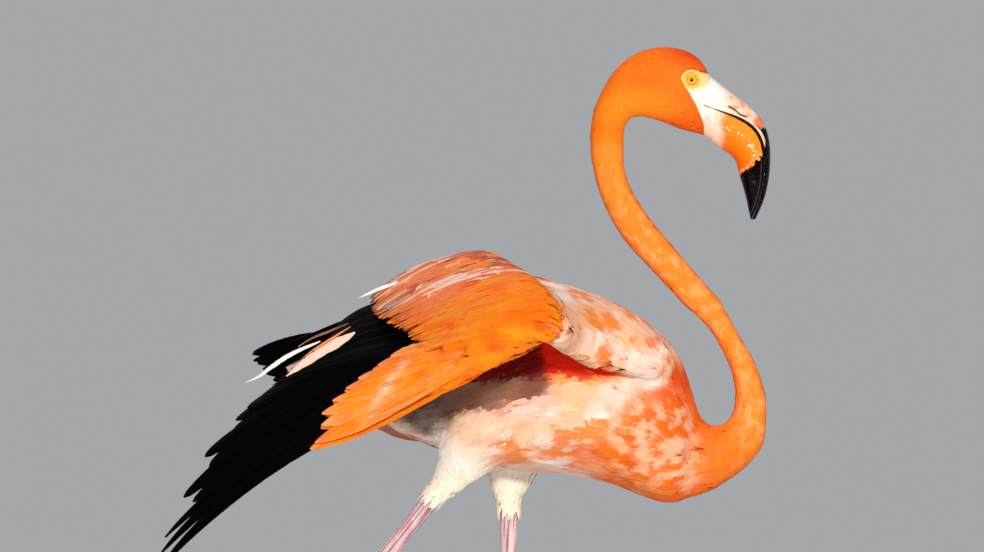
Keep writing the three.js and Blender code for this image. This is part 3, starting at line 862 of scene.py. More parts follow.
class Plan:
    """Where things are on the bird: its axis from breast to bill, its limbs and its bare face."""

    SAMPLES = 420
    BATCH = 20000

    def __init__(self) -> None:
        """Samples the axis and measures its landmarks."""
        heads = [((a + c) / 2, (b + d) / 2, math.dist((a, b), (c, d)) / 2, w) for a, b, c, d, w in HEAD_LINE]
        self.axis = Curve([*NECK_LINE, *heads[1:]])
        t = np.linspace(0, 1, self.SAMPLES)
        rows = self.axis(t)
        self.line = np.stack([rows[:, 0], np.zeros(self.SAMPLES), rows[:, 1]], 1)
        self.size = rows[:, 2]
        self.tangent = unit(np.gradient(self.line, axis=0))
        self.share = t
        self.nape = self.axis.mark(len(NECK_LINE) - 1)
        self.rise = self.axis.mark(4)
        self.face = Region([*FACE_EDGE, (FACE_FRONT, FACE_EDGE[-1][1]), (FACE_FRONT, FACE_EDGE[0][1])])

    def place(self, points: Array) -> tuple[Array, Array]:
        """How far along the axis each point lies, and its distance over the local half depth."""
        flat, line = points[:, [0, 2]], self.line[:, [0, 2]]
        index = np.empty(len(points), int)
        for start in range(0, len(points), self.BATCH):
            part = slice(start, start + self.BATCH)
            index[part] = ((line**2).sum(1)[None] - 2 * flat[part] @ line.T).argmin(1)
        away = np.linalg.norm(points - self.line[index], axis=1)
        return self.share[index], away / self.size[index]

    def neckness(self, points: Array) -> tuple[Array, Array]:
        """How much each point belongs to the neck or head, and its place along the axis."""
        t, ratio = self.place(points)
        share = ease(self.axis.mark(0), self.axis.mark(3), t) * (1 - ease(1.5, 1.9, ratio))
        return share, t

    def face_distance(self, points: Array) -> Array:
        """Distance into the bare face seen from the side; negative among the feathers."""
        return self.face.depth(points)

    @staticmethod
    def marks(leg: dict, *places: str) -> list[Array]:
        """Landmarks of a leg."""
        return [np.array([leg[name][0], leg["side"] * LEG_Y[name], leg[name][1]], float) for name in places]

    def below_feathers(self, points: Array) -> Array:
        """How far down a leg points lie from its lowest feathers; far above it off the legs."""
        below = np.full(len(points), -99.0)
        for leg in LEGS.values():
            top, end = self.marks(leg, "hip", "feathers")
            near = (np.abs(points[:, 1] - end[1]) < 75) & (points[:, 2] < 530)
            below = np.where(near, np.maximum(below, (points - end) @ unit(end - top)), below)
        return below

    def thigh(self, points: Array) -> tuple[Array, Array]:
        """How much each point belongs to a feathered thigh, and the way down that thigh."""
        share = np.zeros(len(points))
        way = np.zeros((len(points), 3))
        for leg in LEGS.values():
            top, end = self.marks(leg, "hip", "feathers")
            run = end - top
            s = ((points - top) @ run) / (run @ run)
            away = np.linalg.norm(points - top - np.clip(s, 0, 1.3)[:, None] * run, axis=1)
            radius = np.interp(s, np.linspace(0, 1, 7), leg["thigh"])
            part = (1 - ease(1.1, 1.45, away / (radius + 2))) * ease(0.15, 0.6, s)
            way = np.where((part > share)[:, None], unit(run), way)
            share = np.maximum(share, part)
        return share, way

    def depth(self, points: Array) -> Array:
        """Depth of the coat over the skin."""
        neck, t = self.neckness(points)
        thigh, _ = self.thigh(points)
        on_neck = np.interp(t, [0, self.rise, self.nape, 1], [4.5, 2.4, 1.7, 1.2])
        body = 4.3 * (1 - neck) + on_neck * neck
        return body * (1 - thigh) + 3.4 * thigh

    def flow(self, points: Array, normals: Array) -> Array:
        """The lie of the feathers over the surface."""
        neck, t = self.neckness(points)
        thigh, down = self.thigh(points)
        x, z = points[:, 0], points[:, 2]
        slope = -0.42 + 0.8 * ease(20, 150, x) - 0.25 * ease(650, 690, z) * ease(60, -20, x)
        slope = slope * (1 - 0.8 * ease(560, 530, z))
        body = unit(np.stack([-np.ones(len(x)), np.zeros(len(x)), slope], 1))
        index = np.clip((t * (self.SAMPLES - 1)).astype(int), 0, self.SAMPLES - 1)
        way = mix(body, -self.tangent[index], neck)
        way = mix(way, down, thigh)
        way = way - normals * (way * normals).sum(1, keepdims=True)
        return unit(way)


class Markings:
    """Colours of skin and feathers by place, in linear light."""

    def __init__(self, plan: Plan) -> None:
        """Keeps the plan and the noises."""
        self.plan = plan
        self.broad, self.middle, self.fine = Mottle(11), Mottle(12), Mottle(13)

    def body(self, p: Array) -> Array:
        """Colours of trunk, neck and thighs.

        Args:
            p: points in millimetres.

        Returns:
            One linear colour for each point.
        """
        x, y, z = p.T
        wander = np.stack([self.middle(p, 24), self.middle(p[:, ::-1], 24), self.broad(p, 24)], 1) - 0.5
        q, r = p + wander * (26, 0, 20), p + wander * (10, 0, 8)
        grained = p @ np.array([[0.94, 0, -0.34], [0, 1, 0], [0.34, 0, 0.94]])
        upper = ease(618, 636, z) * ease(50, 90, x)
        crown = Region(MANTLE_TOP).share(q, 6)
        cover = (0.02 + 0.22 * upper + 0.2 * crown + 0.72 * Region(BELLY).share(r, 4)).clip(0, 0.8)
        turn = np.linalg.norm(p - PARTINGS[1], axis=1)
        mottled = self.fine.patches(grained, (8, 9, 7), 0.5) * Region(PALE_BREAST).share(q, 16)
        orange = layered(
            Tone.ORANGE,
            (Tone.GOLD, ease(0.45, 0.75, self.broad(p, 16)) * 0.4),
            (mix(Tone.PEACH, Tone.PETAL, 0.5), mottled * 0.75),
        )
        # Painted shade: where the open wing's shadow falls on the right flank.
        shade = Region(FLANK_SHADE).share(r, 4) * ease(-16, -40, y)
        side = ease(-34, -50, y)
        flank = side * ease(-104, -92, y)
        apron = ease(9, 2, -Region(SCARLET_FLANK).depth(p)) * ease(60, 76, x)
        colour = layered(
            Tone.PETAL,
            (Tone.SNOW, ease(0.4, 0.66, self.middle(grained, (34, 12, 7))) * 0.85),
            (Tone.ROSE, self.broad.patches(grained, (34, 20, 12), 0.42) * 0.7),
            (Tone.PEACH, self.middle.patches(grained, (24, 18, 11), 0.34) * 0.6),
            (mix(Tone.GOLD, Tone.ORANGE, self.fine(p, 12) * 0.8),
             self.fine.patches(grained, (15, 13, 9), cover) * 0.9),
            (Tone.SALMON, crown * 0.28),
            (mix(Tone.ROSE, Tone.PEACH, 0.5), ease(40, 14, turn) * 0.75),
            (orange, Region(BREAST).share(q, 7)),
            (Tone.EMBER, Region(CREASE).share(q, 7) * 0.6),
            # Painted shade, darker towards the tail.
            (mix(Tone.UMBER, Tone.BARK, ease(50, -45, x)),
             shade * (0.72 + 0.28 * self.middle(grained, (26, 12, 7)))),
            (Tone.GOLD, apron * flank * 0.8),
            (mix(Tone.SCARLET, Tone.EMBER, self.fine(p, 9) * 0.4),
             Region(SCARLET_FLANK).share(p, 2.5) * flank),
            # Painted shadow of the open wing over the crimson wing pit.
            (Tone.CRIMSON, Region(WING_PIT_SHADE).share(p, 2.5) * side),
            (mix(Tone.SNOW, Tone.CREAM, ease(556, 520, z)), self.plan.thigh(p)[0]),
        )
        return self.neck(p, colour)

    def neck(self, p: Array, colour: Array) -> Array:
        """Lays the neck's and head's colours over the body's."""
        share, t = self.plan.neckness(p)
        nape, rise = self.plan.nape, self.plan.rise
        # rim: the neck's front and back edges, painted deeper orange as shade where the neck turns from the
        # light.
        rim = 1 - ease(2, 9, np.abs(p[:, 1]))
        pale = np.maximum(self.fine.patches(p, (5, 5, 5), 0.3), self.middle.patches(p, (11, 8, 8), 0.2) * 0.7)
        gold = layered(
            Tone.GOLD,
            (Tone.AMBER, self.broad(p, 22)),
            (Tone.ORANGE, rim * 0.6 + 0.12),
            (Tone.PEACH, pale * (1 - 0.7 * rim) * ease(nape * 0.99, nape * 0.75, t) * 0.5),
            (Tone.ORANGE, ease(rise * 1.2, rise * 0.5, t) * 0.6),
            (self.head(p), ease(nape * 0.96, nape * 1.03, t)),
        )
        return mix(colour, gold, share)

    def head(self, p: Array) -> Array:
        """Colours of the feathered head."""
        x, _, z = p.T
        crown = ease(893, 912, z) * ease(160, 205, x)
        throat = ease(862, 848, z) * ease(150, 190, x)
        return layered(
            Tone.ORANGE,
            (Tone.AMBER, self.broad(p, 26) * 0.5),
            (Tone.AMBER, ease(1.0, 0.3, np.hypot((x - 150) / 52, (z - 862) / 26)) * 0.85),
            (Tone.EMBER, np.maximum(crown * 0.9, throat * 0.3)),
        )

    def wing(self, p: Array, place: Array) -> Array:
        """Colours of the wing's coverts.

        Args:
            p: points in millimetres.
            place: for each the place across, the place along, the face and the fan.

        Returns:
            One linear colour for each point.
        """
        u, v, side, fan = place.T
        lie = np.stack([v * 150, u * 260, fan * 37.0], 1)
        plain = mix(Tone.ORANGE, Tone.AMBER, self.broad(p, 20) * 0.9)
        red = self.fine.patches(lie, (30, 14, 9), 0.24 + 0.3 * ease(0.55, 0.68, u) * ease(0.85, 0.74, u))
        band = ease(0.12, 0.03, np.abs(u - 0.5 + 0.08 * v))
        top = ease(0.4, 0.26, u) * ease(0.12, 0.4, v)
        cover = (0.1 + 0.34 * band + 0.24 * top) * ease(0.7, 0.58, u)
        crest = ease(0.45, 0.15, v) * ease(0.56, 0.42, u) * ease(0.02, 0.1, v)
        bright = layered(
            plain,
            (Tone.AMBER, self.middle.patches(p, (20, 12, 10), 0.5) * 0.7),
            (Tone.EMBER, self.broad.patches(p, (22, 12, 10), 0.1) * 0.5),
        )
        arm = layered(
            plain,
            (Tone.EMBER, red * 0.8),
            (Tone.SALMON, self.broad.patches(lie, (50, 20, 9), 0.3) * 0.5),
            (Tone.PETAL, self.middle.patches(lie, (80, 2.6, 9), cover) * 0.9),
            (Tone.DUSK, self.fine.patches(lie, (60, 3.5, 9), crest * 0.75) * 0.8),
            (Tone.UMBER, self.broad.patches(lie, (70, 3, 9), 0.07) * 0.6),
            (bright, ease(0.55, 0.72, u + (self.fine(p, 16) - 0.5) * 0.12)),
        )
        streak = line_distance(p, HAND_STREAK)
        hand = layered(
            bright,
            (Tone.PEACH, self.middle.patches(lie, (50, 7, 9), 0.2) * 0.25),
            (Tone.PEACH, ease(9, 0, streak) * 0.35),
            (Tone.PETAL, ease(2.6, 0.4, streak) * 0.6),
        )
        lining = mix(Tone.EMBER, Tone.SCARLET, self.broad.patches(p, 20, 0.5) * 0.6)
        margin = np.maximum(ease(0.2, 0.06, v), ease(0.6, 0.75, u))
        inner = mix(lining, bright, np.maximum(margin, ease(0.75, 0.88, v)))
        # Inner face of the folded wing, where it shows under the body: rose with umber as painted shade.
        folded_lining_shade = mix(Tone.ROSE, Tone.UMBER, 0.25 + 0.5 * self.broad(p, 30))
        choices = [((side > 0) & (fan == Lobe.ARM), arm), ((side > 0) & (fan == Lobe.HAND), hand),
                   (side > 0, bright), (p[:, 1] > 0, folded_lining_shade)]
        return np.select([chosen[:, None] for chosen, _ in choices], [tones for _, tones in choices], inner)

    @staticmethod
    def covert_edge(tip: Array, place: Array) -> Array:
        """Paler edge of a covert, palest on the forearm."""
        u, v, side, fan = place.T
        on_hand = 0.04 + 0.46 * ease(0.6, 0.88, v) * (fan == Lobe.HAND)
        pale = np.where(fan == Lobe.ARM, 0.22 * ease(0.75, 0.45, u), on_hand)
        return mix(tip, Tone.SNOW, pale * (side > 0))

    def bare_face(self, p: Array, colour: Array) -> Array:
        """Lays the bare face's skin colours over the head's."""
        x, _, z = p.T
        eye = np.hypot(x - EYE_AT[0], z - EYE_AT[2])
        lean = eye + 2.5 * self.fine(p, 6) + 0.35 * (EYE_AT[2] - z) - 0.2 * (x - EYE_AT[0])
        skin = layered(
            Tone.SNOW,
            (Tone.HORN, ease(862, 838, z) * 0.8),
            (Tone.YOLK, ease(19.0, 9.0, lean) * 0.75),
            (Tone.YOLK, ease(8.4, 6.6, eye) * 0.6),
            (Tone.AMBER, ease(8.2, 6.8, eye) * 0.3),
            (Tone.UMBER, ease(5.2, 4.7, eye) * 0.5),
            (Tone.PEACH, self.fine.patches(p, 4, 0.2) * 0.25),
        )
        head = (x > 180) & (z > 822)
        front = np.flatnonzero(head & (x > 210))
        line = ease(1.1, 0.2, line_distance(p[front], MOUTH_LINE))
        skin[front] = mix(skin[front], Tone.BARK, line * 0.9)
        return mix(colour, skin, ease(-1.2, 0.6, self.plan.face_distance(p)) * head)

    def skin(self, p: Array) -> tuple[Array, Array]:
        """Colours of the whole skin, and how bare-legged each point is."""
        low = ease(3, 7, self.plan.below_feathers(p))
        pink = layered(
            Tone.LEG_PINK,
            # Painted highlight: pale sheen streaks down the legs.
            (Tone.SNOW, self.middle(p, (6, 6, 40)) * 0.7),
            (Tone.LEG_DARK, ease(40, 0, p[:, 2]) * 0.25),
        )
        return mix(self.bare_face(p, self.body(p)), pink, low), low


# ---- feathers


@dataclass(frozen=True)
class VaneCut:
    """Outline and section of one kind of feather."""

    stations: int = 8
    columns: int = 5
    full_at: float = 0.55
    root_width: float = 0.35
    tip_power: float = 2.0
    fray: float = 0.14
    sweep: float = 0.25
    camber: float = 0.22
    thick: float = 0.22
    ridge: float = 0.25
    waist: float = 0.0

    @cached_property
    def along(self) -> Array:
        """Fractions of the length at the stations, closer together near the tip."""
        return 1 - (1 - np.linspace(0, 1, self.stations)) ** 1.15

    @cached_property
    def faces(self) -> Array:
        """Corners of the closed sheet's quads."""
        s, c = self.stations, self.columns
        top = np.arange(s * c).reshape(s, c)
        under = top.copy()
        under[1:-1, 1:-1] = s * c + np.arange((s - 2) * (c - 2)).reshape(s - 2, c - 2)
        quads = [np.stack([top[:-1, :-1], top[1:, :-1], top[1:, 1:], top[:-1, 1:]], -1)]
        quads.append(np.stack([under[:-1, :-1], under[:-1, 1:], under[1:, 1:], under[1:, :-1]], -1))
        return np.concatenate([q.reshape(-1, 4) for q in quads])

    def outline(self) -> Array:
        """Half width at the stations, over the widest."""
        t = self.along
        rise = self.root_width + (1 - self.root_width) * np.sin(np.pi / 2 * np.clip(t / self.full_at, 0, 1))
        fall = np.clip((t - self.full_at) / (1 - self.full_at), 0, 1)
        tip = (1 - fall**self.tip_power) ** (1 / self.tip_power)
        return np.maximum(rise * tip * (1 - self.waist * ease(0.66, 0.82, t)), 0.1)


@dataclass
class Feathers:
    """Feathers of one cut, as arrays with a row for each feather."""

    cut: VaneCut
    spine: Array
    normals: Array
    half_width: Array
    tones: Array
    edge: Array
    patch: Array
    roll: Array
    edge_share: float = 0.5
    strips: tuple[int, int] = (0, 0)

    def grow(self, rng: Rng) -> dict[str, Array]:
        """The points, faces and painted values of all the feathers."""
        cut, count = self.cut, len(self.spine)
        s, c = cut.stations, cut.columns
        t, w = cut.along[None, :, None], np.linspace(-1, 1, c)[None, None]
        tangent = unit(np.gradient(self.spine, axis=1))
        side = unit(np.cross(self.normals, tangent))
        normal = unit(np.cross(tangent, side))
        cos, sin = np.cos(self.roll)[:, None, None], np.sin(self.roll)[:, None, None]
        side, normal = (side * cos + normal * sin)[:, :, None], (normal * cos - side * sin)[:, :, None]
        half = (self.half_width[:, None] * cut.outline())[..., None]
        odd = np.where(np.arange(s) % 2 == 1, 1.0, 0.25)
        reach = np.ones((count, s, c))
        reach[:, :, [0, -1]] -= rng.random((count, s, 2)) * cut.fray * odd[:, None]
        across = w * half * reach
        push = np.abs(across) * cut.sweep * ease(1.0, 0.75, t)
        sag = -cut.camber * w**2 * half
        rise = cut.ridge * np.clip(1 - np.abs(w) * (c - 1) / 2, 0, 1) * ease(1, 0.6, t)
        middle = self.spine[:, :, None] + side * across[..., None]
        middle = middle + tangent[:, :, None] * push[..., None] + normal * sag[..., None]
        inner = np.zeros((s, c))
        inner[1:-1, 1:-1] = cut.thick / 2
        length = np.linalg.norm(np.diff(self.spine, axis=1), axis=2).sum(1)[:, None, None]
        edge = np.maximum(ease(0.55, 1.0, np.abs(w)) * ease(0.1, 0.5, t), ease(0.86, 1.0, t))
        run, seed, w, t, edge = (np.broadcast_to(grid, (count, s, c)) for grid in (
            t * length, rng.random((count, 1, 1)), w, t, edge * self.edge_share))
        colour = mix(np.repeat(self.tones[:, :, None], c, 2), self.edge[:, None, None], edge)
        first, total = self.strips
        if total:
            column = (first + np.arange(count)[:, None, None] + 0.5 + w * 0.42) / total
            uv = np.stack([column, 0.02 + t * 0.96], -1)
        else:
            uv = self.patch[:, None, None] + np.stack([w * 0.0015, (t - 0.5) * 0.003], -1)

        def both(top: Array, under: Array) -> Array:
            """Rows for the corners of the top and then for the inner ones of the underside."""
            grids = top, under[:, 1:-1, 1:-1]
            flat = [grid.reshape(count, -1, grid.shape[-1]) for grid in grids]
            return np.concatenate(flat, 1).reshape(-1, top.shape[-1])

        step = s * c + (s - 2) * (c - 2)
        faces = cut.faces + (np.arange(count) * step)[:, None, None]
        vane = np.stack([run, across, seed], -1)
        return {
            "points": both(middle + normal * (rise + inner)[..., None], middle - normal * inner[..., None]),
            "faces": faces.reshape(-1, 4),
            "upper": np.tile(np.arange(len(cut.faces)) < (s - 1) * (c - 1), count),
            "tint": both(colour, colour), "vane": both(vane, vane), "uv": both(uv, uv),
        }


def crease_rims(mesh: Mesh, upper: Array) -> None:
    """Keeps each vane's two faces from shading into each other round its rim."""
    edges = np.empty(len(mesh.loops), np.int32)
    mesh.loops.foreach_get("edge_index", edges)
    rims = np.bincount(edges, weights=np.repeat(upper, 4), minlength=len(mesh.edges)) == 1
    mesh.attributes.new("sharp_edge", "BOOLEAN", "EDGE").data.foreach_set("value", rims)


def coat_piece(name: str, groups: Sequence[Feathers], material: Material, slot: str,
               rng: Rng, *nodes: str) -> Thing:
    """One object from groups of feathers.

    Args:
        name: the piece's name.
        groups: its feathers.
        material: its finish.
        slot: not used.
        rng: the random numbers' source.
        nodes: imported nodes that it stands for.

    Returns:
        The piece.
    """
    parts = [group.grow(rng) for group in groups if len(group.spine)]
    shifts = np.cumsum([0] + [len(part["points"]) for part in parts[:-1]])
    faces = np.concatenate([part["faces"] + shift for part, shift in zip(parts, shifts)])
    whole = {key: np.concatenate([part[key] for part in parts]) for key in parts[0]}
    points = to_frame(whole["points"])
    mesh = bpy.data.meshes.new(name)
    mesh.vertices.add(len(points))
    mesh.vertices.foreach_set("co", points.ravel())
    mesh.loops.add(faces.size)
    mesh.loops.foreach_set("vertex_index", faces.ravel().astype(np.int32))
    mesh.polygons.add(len(faces))
    mesh.polygons.foreach_set("loop_start", np.arange(0, faces.size, 4, dtype=np.int32))
    mesh.update(calc_edges=True)
    crease_rims(mesh, whole["upper"])
    tint(mesh, whole["tint"])
    paint(mesh, "vane", whole["vane"])
    layer = mesh.uv_layers.new(name="OFBake")
    layer.data.foreach_set("uv", whole["uv"][faces.ravel()].astype(np.float32).ravel())
    return dress(placed(name, mesh), material, slot, *nodes)


# ---- wings


@dataclass(frozen=True)
class Fan:
    """A curved spread of feathers between a root, a middle and a tip curve."""

    root: Rows
    middle: Rows
    tip: Rows
    edge: float = 0.0
    most: float = 0.0
    end: float = 1.0
    outward: tuple = (0.0, -1.0, 0.6)
    reach: float = 0.78

    @cached_property
    def curves(self) -> tuple[Curve, Curve, Curve]:
        """The three curves."""
        return Curve(self.root, 3), Curve(self.middle, 3), Curve(self.tip, 3)

    def middle_point(self, u: Array, v: Array) -> Array:
        """A point on the middle sheet."""
        a, b, c = (curve(u) for curve in self.curves)
        v = np.asarray(v, float)[..., None]
        return (1 - v) * (1 - 2 * v) * a + 4 * v * (1 - v) * b + v * (2 * v - 1) * c

    def normal(self, u: Array, v: Array) -> Array:
        """The sheet's outward normal."""
        e = 0.02
        u0, u1 = np.clip(u - e, 0, 1), np.clip(u + e, 0, 1)
        v0, v1 = np.clip(v - e, 0, 1), np.clip(v + e, 0, 1)
        du = self.middle_point(u1, v) - self.middle_point(u0, v)
        dv = self.middle_point(u, v1) - self.middle_point(u, v0)
        n = unit(np.cross(du, dv))
        turn = np.sign((n * np.array(self.outward)).sum(-1).mean())
        return n * turn

    def half(self, v: Array) -> Array:
        """Half thickness of the feathered lobe."""
        nose = np.sqrt(np.clip(v / 0.12, 0, 1))
        return (self.most * (1 - np.clip(v, 0, 1)) ** 0.75 + self.end) * nose

    def spine(self, u: Array, v: Array, side: float, lift: Array) -> tuple[Array, Array]:
        """Points over one face of the lobe and their normals.

        Args:
            u: places along the root, with a column for each station.
            v: places from root to tip, alike.
            side: 1 for the outer face and -1 for the inner one.
            lift: height over the lobe's skin, alike.

        Returns:
            The points and the face's normals.
        """
        n = self.normal(u, v)
        over = side * (np.maximum(self.half(v) - self.coat(v), 0.3) + lift)
        points = self.middle_point(u, v) + n * over[..., None]
        return points, n * side

    def coat(self, v: Array) -> Array:
        """Depth of the feathers over the lobe's skin."""
        return np.minimum(3.0, 0.4 * self.half(v))

    def flesh(self, name: str) -> Thing:
        """The fleshy part under the feathers."""
        stations = np.linspace(0, 1, 18) ** 1.6 * self.reach
        u, v = np.meshgrid(np.linspace(0.0, 1.0, 44), stations, indexing="ij")
        n = self.normal(u, v)
        half = np.maximum(self.half(v) - self.coat(v), 0.2)[..., None]
        middle = self.middle_point(u, v)
        grid = np.arange(u.size).reshape(u.shape)
        under = grid + u.size
        faces: Faces = []
        for i in range(len(grid) - 1):
            faces += weave(grid[[i + 1, i]]) + weave(under[i:i + 2])
        for edges in ((grid[0], under[0]), (under[-1], grid[-1]), (under[:, 0], grid[:, 0]),
                      (grid[:, -1], under[:, -1])):
            faces += weave(np.stack(edges))
        points = np.concatenate([(middle + n * half).reshape(-1, 3), (middle - n * half).reshape(-1, 3)])
        return Solid(points, faces).outward().object(name)


@dataclass(frozen=True)
class Wing:
    """The five fans of one wing."""

    name: str
    arm: Fan
    shoulder: Fan
    hand: Fan
    primaries: Fan
    secondaries: Fan
    wrist: Fan | None = None


RIGHT_WING = Wing(
    "right",
    arm=Fan(
        ((22, -8, 706), (18, -34, 720), (26, -66, 724), (50, -106, 711),
         (70, -150, 694), (82, -184, 676), (79, -203, 660), (68, -206, 655)),
        ((-40, -10, 700), (-44, -36, 713), (-30, -70, 716), (-10, -106, 706),
         (8, -144, 696), (18, -176, 682), (22, -196, 668), (10, -204, 654)),
        ((-98, -10, 676), (-99, -34, 682), (-93, -62, 682), (-81, -92, 675),
         (-67, -120, 666), (-56, -144, 658), (-47, -160, 651), (-50, -172, 640)),
        0.4, 11, 1.2, (-0.2, -0.6, 1.0),
    ),
    shoulder=Fan(
        ((186, -52, 622), (164, -80, 618), (124, -102, 626), (94, -134, 643), (78, -176, 654)),
        ((150, -42, 668), (122, -74, 672), (92, -96, 680), (70, -122, 688), (62, -158, 684)),
        ((94, -26, 686), (68, -52, 696), (44, -72, 700), (24, -92, 703), (22, -130, 696)),
        0.35, 13, 2, (0.5, -1.0, 0.6),
    ),
    hand=Fan(
        ((60, -186, 674), (68, -198, 666), (70, -206, 657)),
        ((-8, -178, 655), (-14, -188, 642), (-31, -202, 612)),
        ((-62, -166, 646), (-104, -172, 617), (-128, -180, 594), (-145, -192, 553)),
        0.4, 8.5, 1.1, (-0.3, -1.0, 0.3),
    ),
    primaries=Fan(
        ((-30, -150, 648), (-48, -168, 628), (-62, -196, 590)),
        ((-118, -118, 634), (-136, -140, 602), (-165, -184, 543)),
        ((-180, -96, 610), (-205, -106, 588), (-232, -124, 556),
         (-251, -140, 520), (-268, -152, 488), (-275, -164, 459), (-273, -172, 449)),
        outward=(-0.4, -1.0, 0.4),
    ),
    secondaries=Fan(
        ((-58, -40, 692), (-50, -80, 680), (-36, -120, 664), (-28, -146, 652)),
        ((-90, -38, 686), (-94, -72, 668), (-104, -100, 648), (-114, -116, 637)),
        ((-118, -36, 670), (-134, -62, 648), (-160, -82, 628), (-180, -94, 612)),
        outward=(-0.4, -0.6, 1.0),
    ),
    wrist=Fan(
        ((76, -176, 680), (79, -195.5, 668), (71, -204, 656), (62, -204, 653)),
        ((30, -179, 687), (30, -200.5, 672.5), (28, -207, 655), (14, -202, 640)),
        ((-22, -160, 671), (-20, -180, 659), (-22, -195, 645), (-40, -198, 613)),
        most=2, end=2, outward=(-0.1, -1.0, 0.8),
    ),
)

LEFT_WING = Wing(
    "left",
    arm=Fan(
        ((40, 8, 706), (44, 44, 696), (48, 78, 674), (56, 97, 642), (72, 102, 606), (100, 100, 580)),
        ((-36, 8, 696), (-36, 42, 686), (-34, 70, 664), (-24, 89, 634), (-8, 96, 604), (24, 98, 578)),
        ((-108, 8, 667), (-112, 30, 660), (-110, 52, 645), (-102, 70, 624), (-82, 84, 602), (-52, 92, 582)),
        0.4, 9, 1.2, (0.0, 1.0, 0.7),
    ),
    shoulder=Fan(
        ((184, 44, 634), (186, 62, 618), (178, 76, 598), (156, 88, 582)),
        ((120, 48, 680), (118, 78, 658), (112, 95, 625), (104, 99, 592)),
        ((20, 38, 700), (14, 72, 678), (16, 93, 642), (30, 99, 606)),
        0.4, 11, 2, (0.3, 1.0, 0.5), 0.93,
    ),
    hand=Fan(
        ((20, 86, 590), (60, 92, 578), (104, 88, 567)),
        ((-40, 82, 588), (-20, 88, 576), (10, 86, 566)),
        ((-112, 72, 596), (-102, 76, 586), (-86, 78, 576)),
        0.4, 5, 1.1, (0.0, 1.0, 0.0),
    ),
    primaries=Fan(
        ((-76, 48, 656), (-84, 60, 634), (-92, 70, 606)),
        ((-136, 42, 656), (-138, 50, 636), (-140, 56, 617)),
        ((-196, 32, 645), (-198, 36, 638), (-190, 42, 629), (-178, 48, 617)),
        outward=(-0.3, 1.0, 0.5),
    ),
    secondaries=Fan(
        ((-78, 10, 682), (-76, 36, 670), (-68, 62, 652)),
        ((-116, 9, 670), (-118, 30, 662), (-112, 52, 650)),
        ((-158, 8, 654), (-163, 24, 652), (-156, 42, 647)),
        outward=(-0.2, 0.4, 1.0),
    ),
)

TAIL = Fan(
    ((-96, 34, 636), (-100, 0, 648), (-96, -34, 636)),
    ((-132, 36, 628), (-136, 0, 641), (-132, -36, 628)),
    ((-160, 38, 619), (-166, 0, 629), (-160, -38, 619)),
    outward=(-0.3, 0.0, 1.0),
)


# ---- skin


